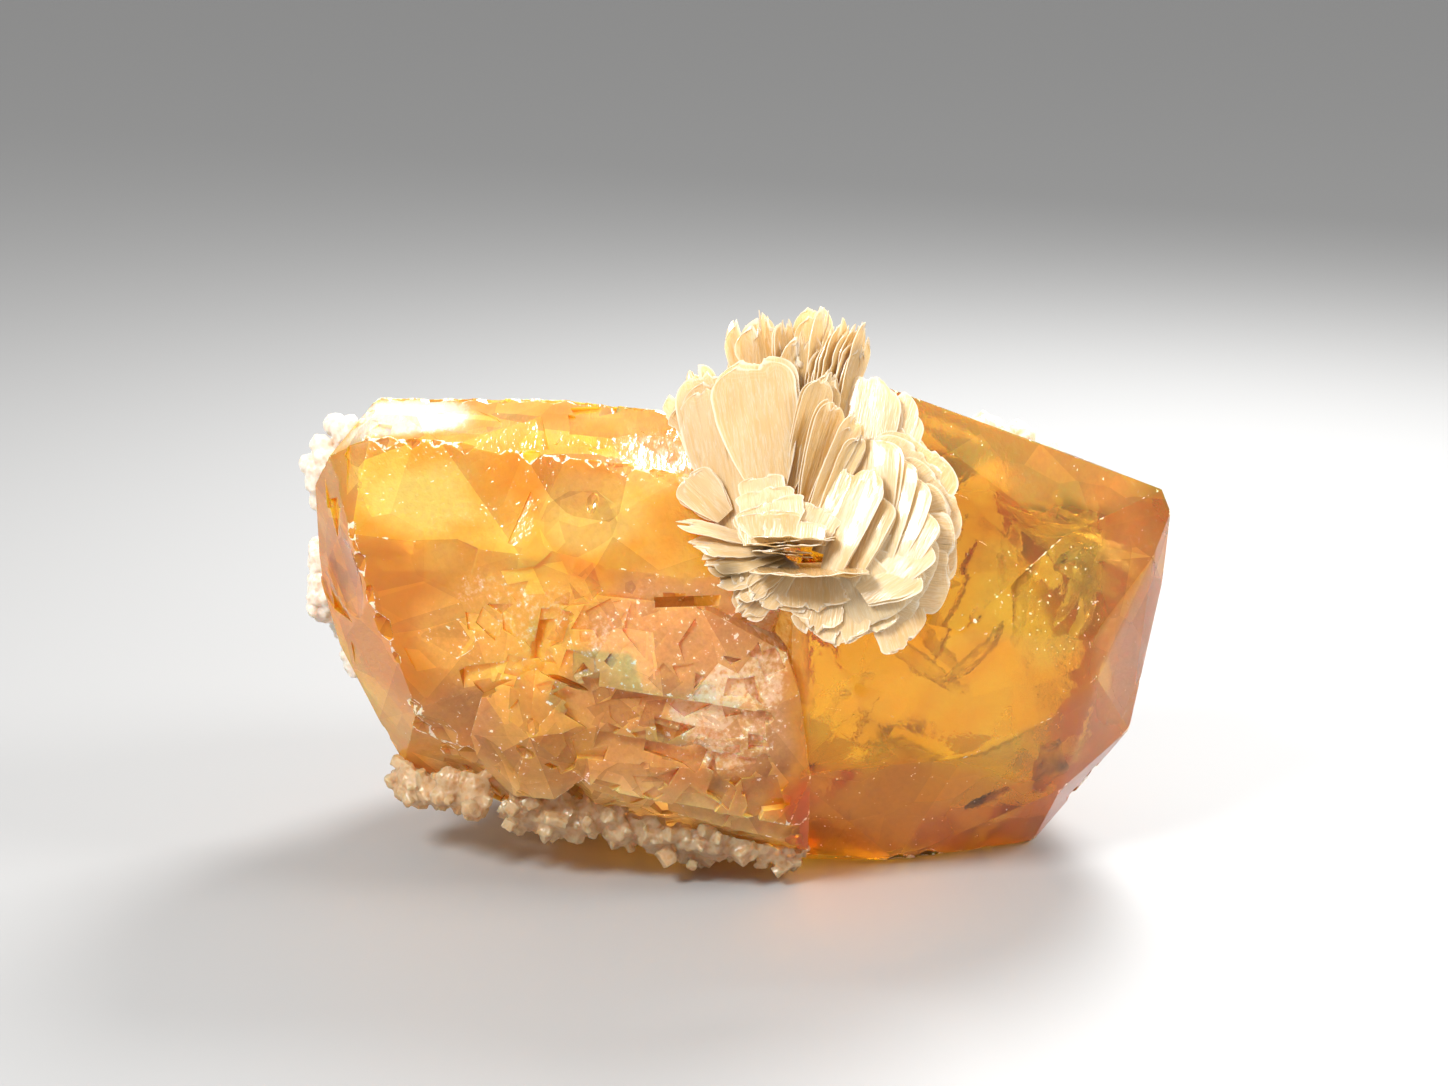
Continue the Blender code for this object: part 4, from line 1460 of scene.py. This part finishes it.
SMOOTH, WAVY, TORN = Outline.SMOOTH, Outline.WAVY, Outline.TORN
LEFT_LEAVES = (
    Book((-4.2, -0.4, 0.6), (-6.1, 9.8, -0.8), 4.8, (-0.35, 0.1, 1.0), SMOOTH, 0.4, layers=3),
    Book((-4.0, 0.4, 0.0), (-6.9, 9.2, -1.4), 3.8, (-0.45, 0.1, 1.0), SMOOTH, 0.3),
    Book((-1.9, 1.6, 1.2), (-3.4, 11.1, 0.2), 5.7, (0.10, 0.05, 1.0), SMOOTH, 0.3, 0.26, 0.10),
    Book((-2.4, 1.8, 0.4), (-2.6, 10.3, -0.7), 4.2, (0.25, 0.05, 1.0), SMOOTH, 0.3, 0.3, layers=1),
    Book((-5.7, 6.0, -0.9), (-7.9, 8.9, -1.5), 3.2, (-0.3, 0.2, 1.0), TORN, 0.3),
    Book((-5.4, 6.4, -1.2), (-6.9, 10.3, -1.9), 2.6, (-0.3, 0.1, 1.0), TORN, 0.3),
    Book((-5.0, 0.8, 0.8), (-7.5, 3.4, 0.5), 2.9, (-0.2, 0.3, 1.0), WAVY, 0.3),
    *sweep(6, Book((-1.2, -1.1, 2.2), (-7.4, 0.0, 1.9), 1.5, (0.1, 0.8, 0.7), TORN, 0.2),
           Book((-1.2, -1.7, 2.2), (-5.8, -3.1, 2.2), 2.2, (0.0, 0.4, 1.0), TORN, 0.3),
           Book((-0.7, -2.1, 2.2), (-2.9, -4.8, 2.3), 2.9, (0.1, 0.1, 1.0), TORN, 0.3)),
)
CENTER_BOOK = (
    *sweep(3, Book((-2.3, 0.8, 2.0), (-2.7, 3.2, 1.0), 3.6, (0.0, 0.7, 1.0), WAVY, 0.3, 0.5, 0.1,
                   layers=1),
           Book((-1.8, -0.6, 3.2), (-2.2, 1.6, 2.2), 5.0, (0.0, 0.7, 1.0), WAVY, 0.3, 0.6, 0.16)),
    Book((-2.0, -0.9, 3.5), (-2.2, 1.0, 2.9), 4.4, (-0.1, 0.5, 1.0), WAVY, 0.2, 0.8, -0.1),
    Book((0.4, -0.6, 2.8), (1.4, 1.3, 2.1), 3.2, (0.2, 0.6, 1.0), WAVY, 0.1, 0.8),
    Book((-0.5, -0.9, 3.6), (-0.3, 0.5, 3.2), 4.2, (0.0, 0.8, 1.0), WAVY, 0.1, 0.9),
    Book((-0.5, -0.5, -0.5), (-0.5, -0.8, 4.6), 5.2, (0.0, 1.0, 0.10), WAVY, 0.1, 0.6),
    Book((-0.9, -1.0, -0.5), (-1.0, -1.25, 4.5), 4.4, (0.0, 1.0, 0.05), WAVY, 0.1, 0.6),
    Book((-1.1, -1.5, -0.5), (-1.1, -1.65, 4.2), 3.6, (0.05, 1.0, 0.05), TORN, 0.1, 0.6),
    Book((0.4, -2.3, -0.4), (0.6, -3.2, 5.2), 7.4, (0.0, 1.0, 0.35), SMOOTH, 0.15, 0.6, 0.06),
)
UPRIGHT_FAN = (
    Book((-1.5, 4.4, -1.6), (-2.6, 13.6, -2.4), 3.6, (0.1, 0.0, 1.0), TORN, 0.4),
    Book((-1.6, 4.2, -2.0), (-3.7, 13.1, -2.8), 3.0, (-0.1, 0.0, 1.0), TORN, 0.3),
    Book((-0.6, 4.4, -1.3), (-1.2, 13.2, -1.8), 2.2, (0.7, 0.0, 0.75), TORN, 0.3),
    Book((0.7, 5.6, -1.9), (0.9, 14.7, -2.6), 2.7, (0.2, 0.0, 1.0), SMOOTH, 0.3),
    *sweep(6, Book((0.2, 2.2, -1.0), (1.6, 13.4, -1.6), 2.8, (0.75, 0.0, 0.65), TORN, 0.3),
           Book((1.9, 4.6, -1.2), (4.0, 12.7, -1.8), 2.6, (0.90, -0.1, 0.45), TORN, 0.3)),
    Book((-0.3, 2.6, -0.4), (0.1, 12.4, -1.0), 3.2, (0.35, 0.0, 0.95), TORN, 0.4, 0.35, layers=3),
    Book((-0.6, 2.8, -0.2), (-0.6, 11.3, -0.8), 2.3, (0.50, 0.0, 0.85), TORN, 0.3, 0.4),
    Book((-0.1, 2.4, 0.0), (2.1, 10.5, -0.2), 2.3, (0.45, 0.0, 0.90), WAVY, 0.3, 0.3),
    Book((-0.7, 2.6, 0.5), (1.3, 9.8, 0.4), 2.3, (0.40, 0.0, 0.95), SMOOTH, 0.3, 0.3),
    Book((0.1, 1.2, 1.2), (2.0, 8.2, 1.2), 2.4, (0.45, 0.0, 0.90), SMOOTH, 0.4, 0.3),
    Book((0.6, 0.8, 1.6), (3.3, 6.9, 1.4), 1.9, (0.45, -0.1, 0.90), WAVY, 0.4, 0.4),
    Book((1.3, 0.9, 1.4), (3.9, 6.4, 1.1), 1.7, (0.50, -0.1, 0.85), WAVY, 0.4, 0.4),
)
RIGHT_PETALS = (
    Book((3.0, 0.2, 0.0), (4.7, 9.9, -1.2), 5.2, (-0.15, 0.0, 1.0), SMOOTH, -0.3, 0.5, layers=3),
    Book((3.4, 0.2, -0.3), (6.2, 9.0, -1.4), 4.6, (-0.10, 0.0, 1.0), SMOOTH, -0.3, 0.5),
    Book((3.6, 0.0, 0.0), (7.6, 6.3, -0.8), 4.6, (0.0, 0.0, 1.0), SMOOTH, -0.3, 0.5),
    *sweep(7, Book((3.9, -1.0, 0.6), (8.7, 5.2, 0.2), 6.6, (0.15, 0.1, 1.0), SMOOTH, -0.4, 0.5),
           Book((4.1, -1.4, 1.0), (10.6, 1.6, 0.6), 6.8, (0.25, 0.0, 1.0), SMOOTH, -0.4, 0.5),
           Book((4.1, -1.8, 1.6), (9.8, -2.5, 1.6), 6.8, (0.2, -0.1, 1.0), SMOOTH, -0.4, 0.5),
           Book((3.8, -2.2, 2.0), (7.4, -4.9, 2.2), 6.4, (0.1, -0.2, 1.0), SMOOTH, -0.4, 0.5),
           Book((3.2, -2.4, 2.2), (4.7, -6.3, 2.5), 5.8, (0.0, -0.2, 1.0), WAVY, -0.3, 0.6)),
    *sweep(6, Book((4.3, -2.2, 1.5), (4.4, 6.2, 0.8), 4.4, (-0.50, 0.0, 0.85), SMOOTH, -0.5, 0.5),
           Book((4.9, -3.0, 1.9), (6.3, 4.2, 1.2), 5.0, (-0.45, 0.1, 0.9), SMOOTH, -0.5, 0.5),
           Book((4.6, -3.8, 2.3), (7.5, 1.1, 2.0), 5.0, (-0.35, 0.2, 0.9), SMOOTH, -0.5, 0.5),
           Book((3.8, -4.1, 2.6), (6.9, -1.8, 2.7), 4.6, (-0.25, 0.3, 0.9), SMOOTH, -0.5, 0.5)),
    Book((3.0, -3.3, 2.6), (5.0, 2.1, 2.4), 2.8, (-0.45, 0.1, 0.9), SMOOTH, -0.5, 0.5),
    Book((1.2, -1.6, 2.2), (3.1, 3.9, 2.0), 2.2, (-0.35, 0.0, 1.0), WAVY, -0.4, 0.5),
    Book((1.8, -3.1, 3.0), (4.4, 3.7, 2.9), 2.9, (-0.45, 0.2, 0.9), SMOOTH, -0.5, 0.5, 0.2),
)
LOWER_SKIRT = (
    Book((0.8, -2.8, 1.9), (0.8, -5.4, 2.4), 4.6, (0.0, -0.2, 1.0), TORN, 0.2, 0.7),
    Book((1.6, -3.2, 1.9), (0.9, -6.6, 2.2), 3.4, (0.0, -0.2, 1.0), TORN, 0.2, 0.6),
    Book((2.4, -3.4, 1.8), (2.7, -7.3, 2.1), 3.8, (0.0, -0.2, 1.0), TORN, 0.2, 0.6),
    Book((4.0, -3.6, 1.6), (4.9, -6.9, 1.9), 3.8, (0.1, -0.2, 1.0), WAVY, 0.2, 0.6),
    Book((5.8, -3.6, 1.2), (7.1, -7.6, 1.4), 3.8, (0.2, -0.2, 1.0), WAVY, 0.1, 0.7, 0.35),
    Book((-1.3, -2.8, 1.8), (-3.9, -5.4, 2.0), 2.8, (-0.1, -0.2, 1.0), TORN, 0.2, 0.6),
)


def main() -> None:
    """Build the specimen piece by piece, then the studio."""
    logging.basicConfig(level=logging.INFO, format="%(relativeCreated)d ms %(message)s")
    solid = merged_copy("scheelite_crystal", "surface")
    crystal = surface_of(solid)
    bpy.data.objects.remove(solid)
    Scheelite().build()
    mica = MicaFinish("mica")
    golden = MicaFinish("mica_golden", pale=(0.92, 0.72, 0.38), deep=(0.78, 0.50, 0.17))
    for node, books, seed, finish in (
            ("muscovite_left_leaves", LEFT_LEAVES, 51, mica),
            ("muscovite_center_book", CENTER_BOOK, 52, mica),
            ("muscovite_upright_fan", UPRIGHT_FAN, 53, golden),
            ("muscovite_right_petals", RIGHT_PETALS, 54, mica),
            ("muscovite_lower_skirt", LOWER_SKIRT, 55, mica)):
        MuscovitePiece(node, books, seed, finish).build(crystal)
    white = CrustFinish()
    icy = CrustFinish("crust_icy", pale=(0.88, 0.62, 0.34), deep=(0.74, 0.44, 0.18), icy=0.62,
                      tips=(0.95, 0.80, 0.58))
    tan = CrustFinish("crust_tan", pale=(0.88, 0.70, 0.48), deep=(0.80, 0.54, 0.30))
    for patch, finish in (
            (CrustPatch("white_crust_left_upper", 61, 110, (0.30, 0.80)), white),
            (CrustPatch("white_crust_left_lower", 62, 120, (0.30, 0.80)), white),
            (CrustPatch("white_crust_lower_left", 63, 110, (0.20, 0.60), True, 0.5), icy),
            (CrustPatch("white_crust_lower_front", 64, 260, (0.20, 0.70), True, 0.7), icy),
            (CrustPatch("white_crust_back", 65, 150, (0.25, 0.70)), tan)):
        patch.build(finish)
    Studio().build()
    BLANK.clear()


if __name__ == "__main__":
    main()
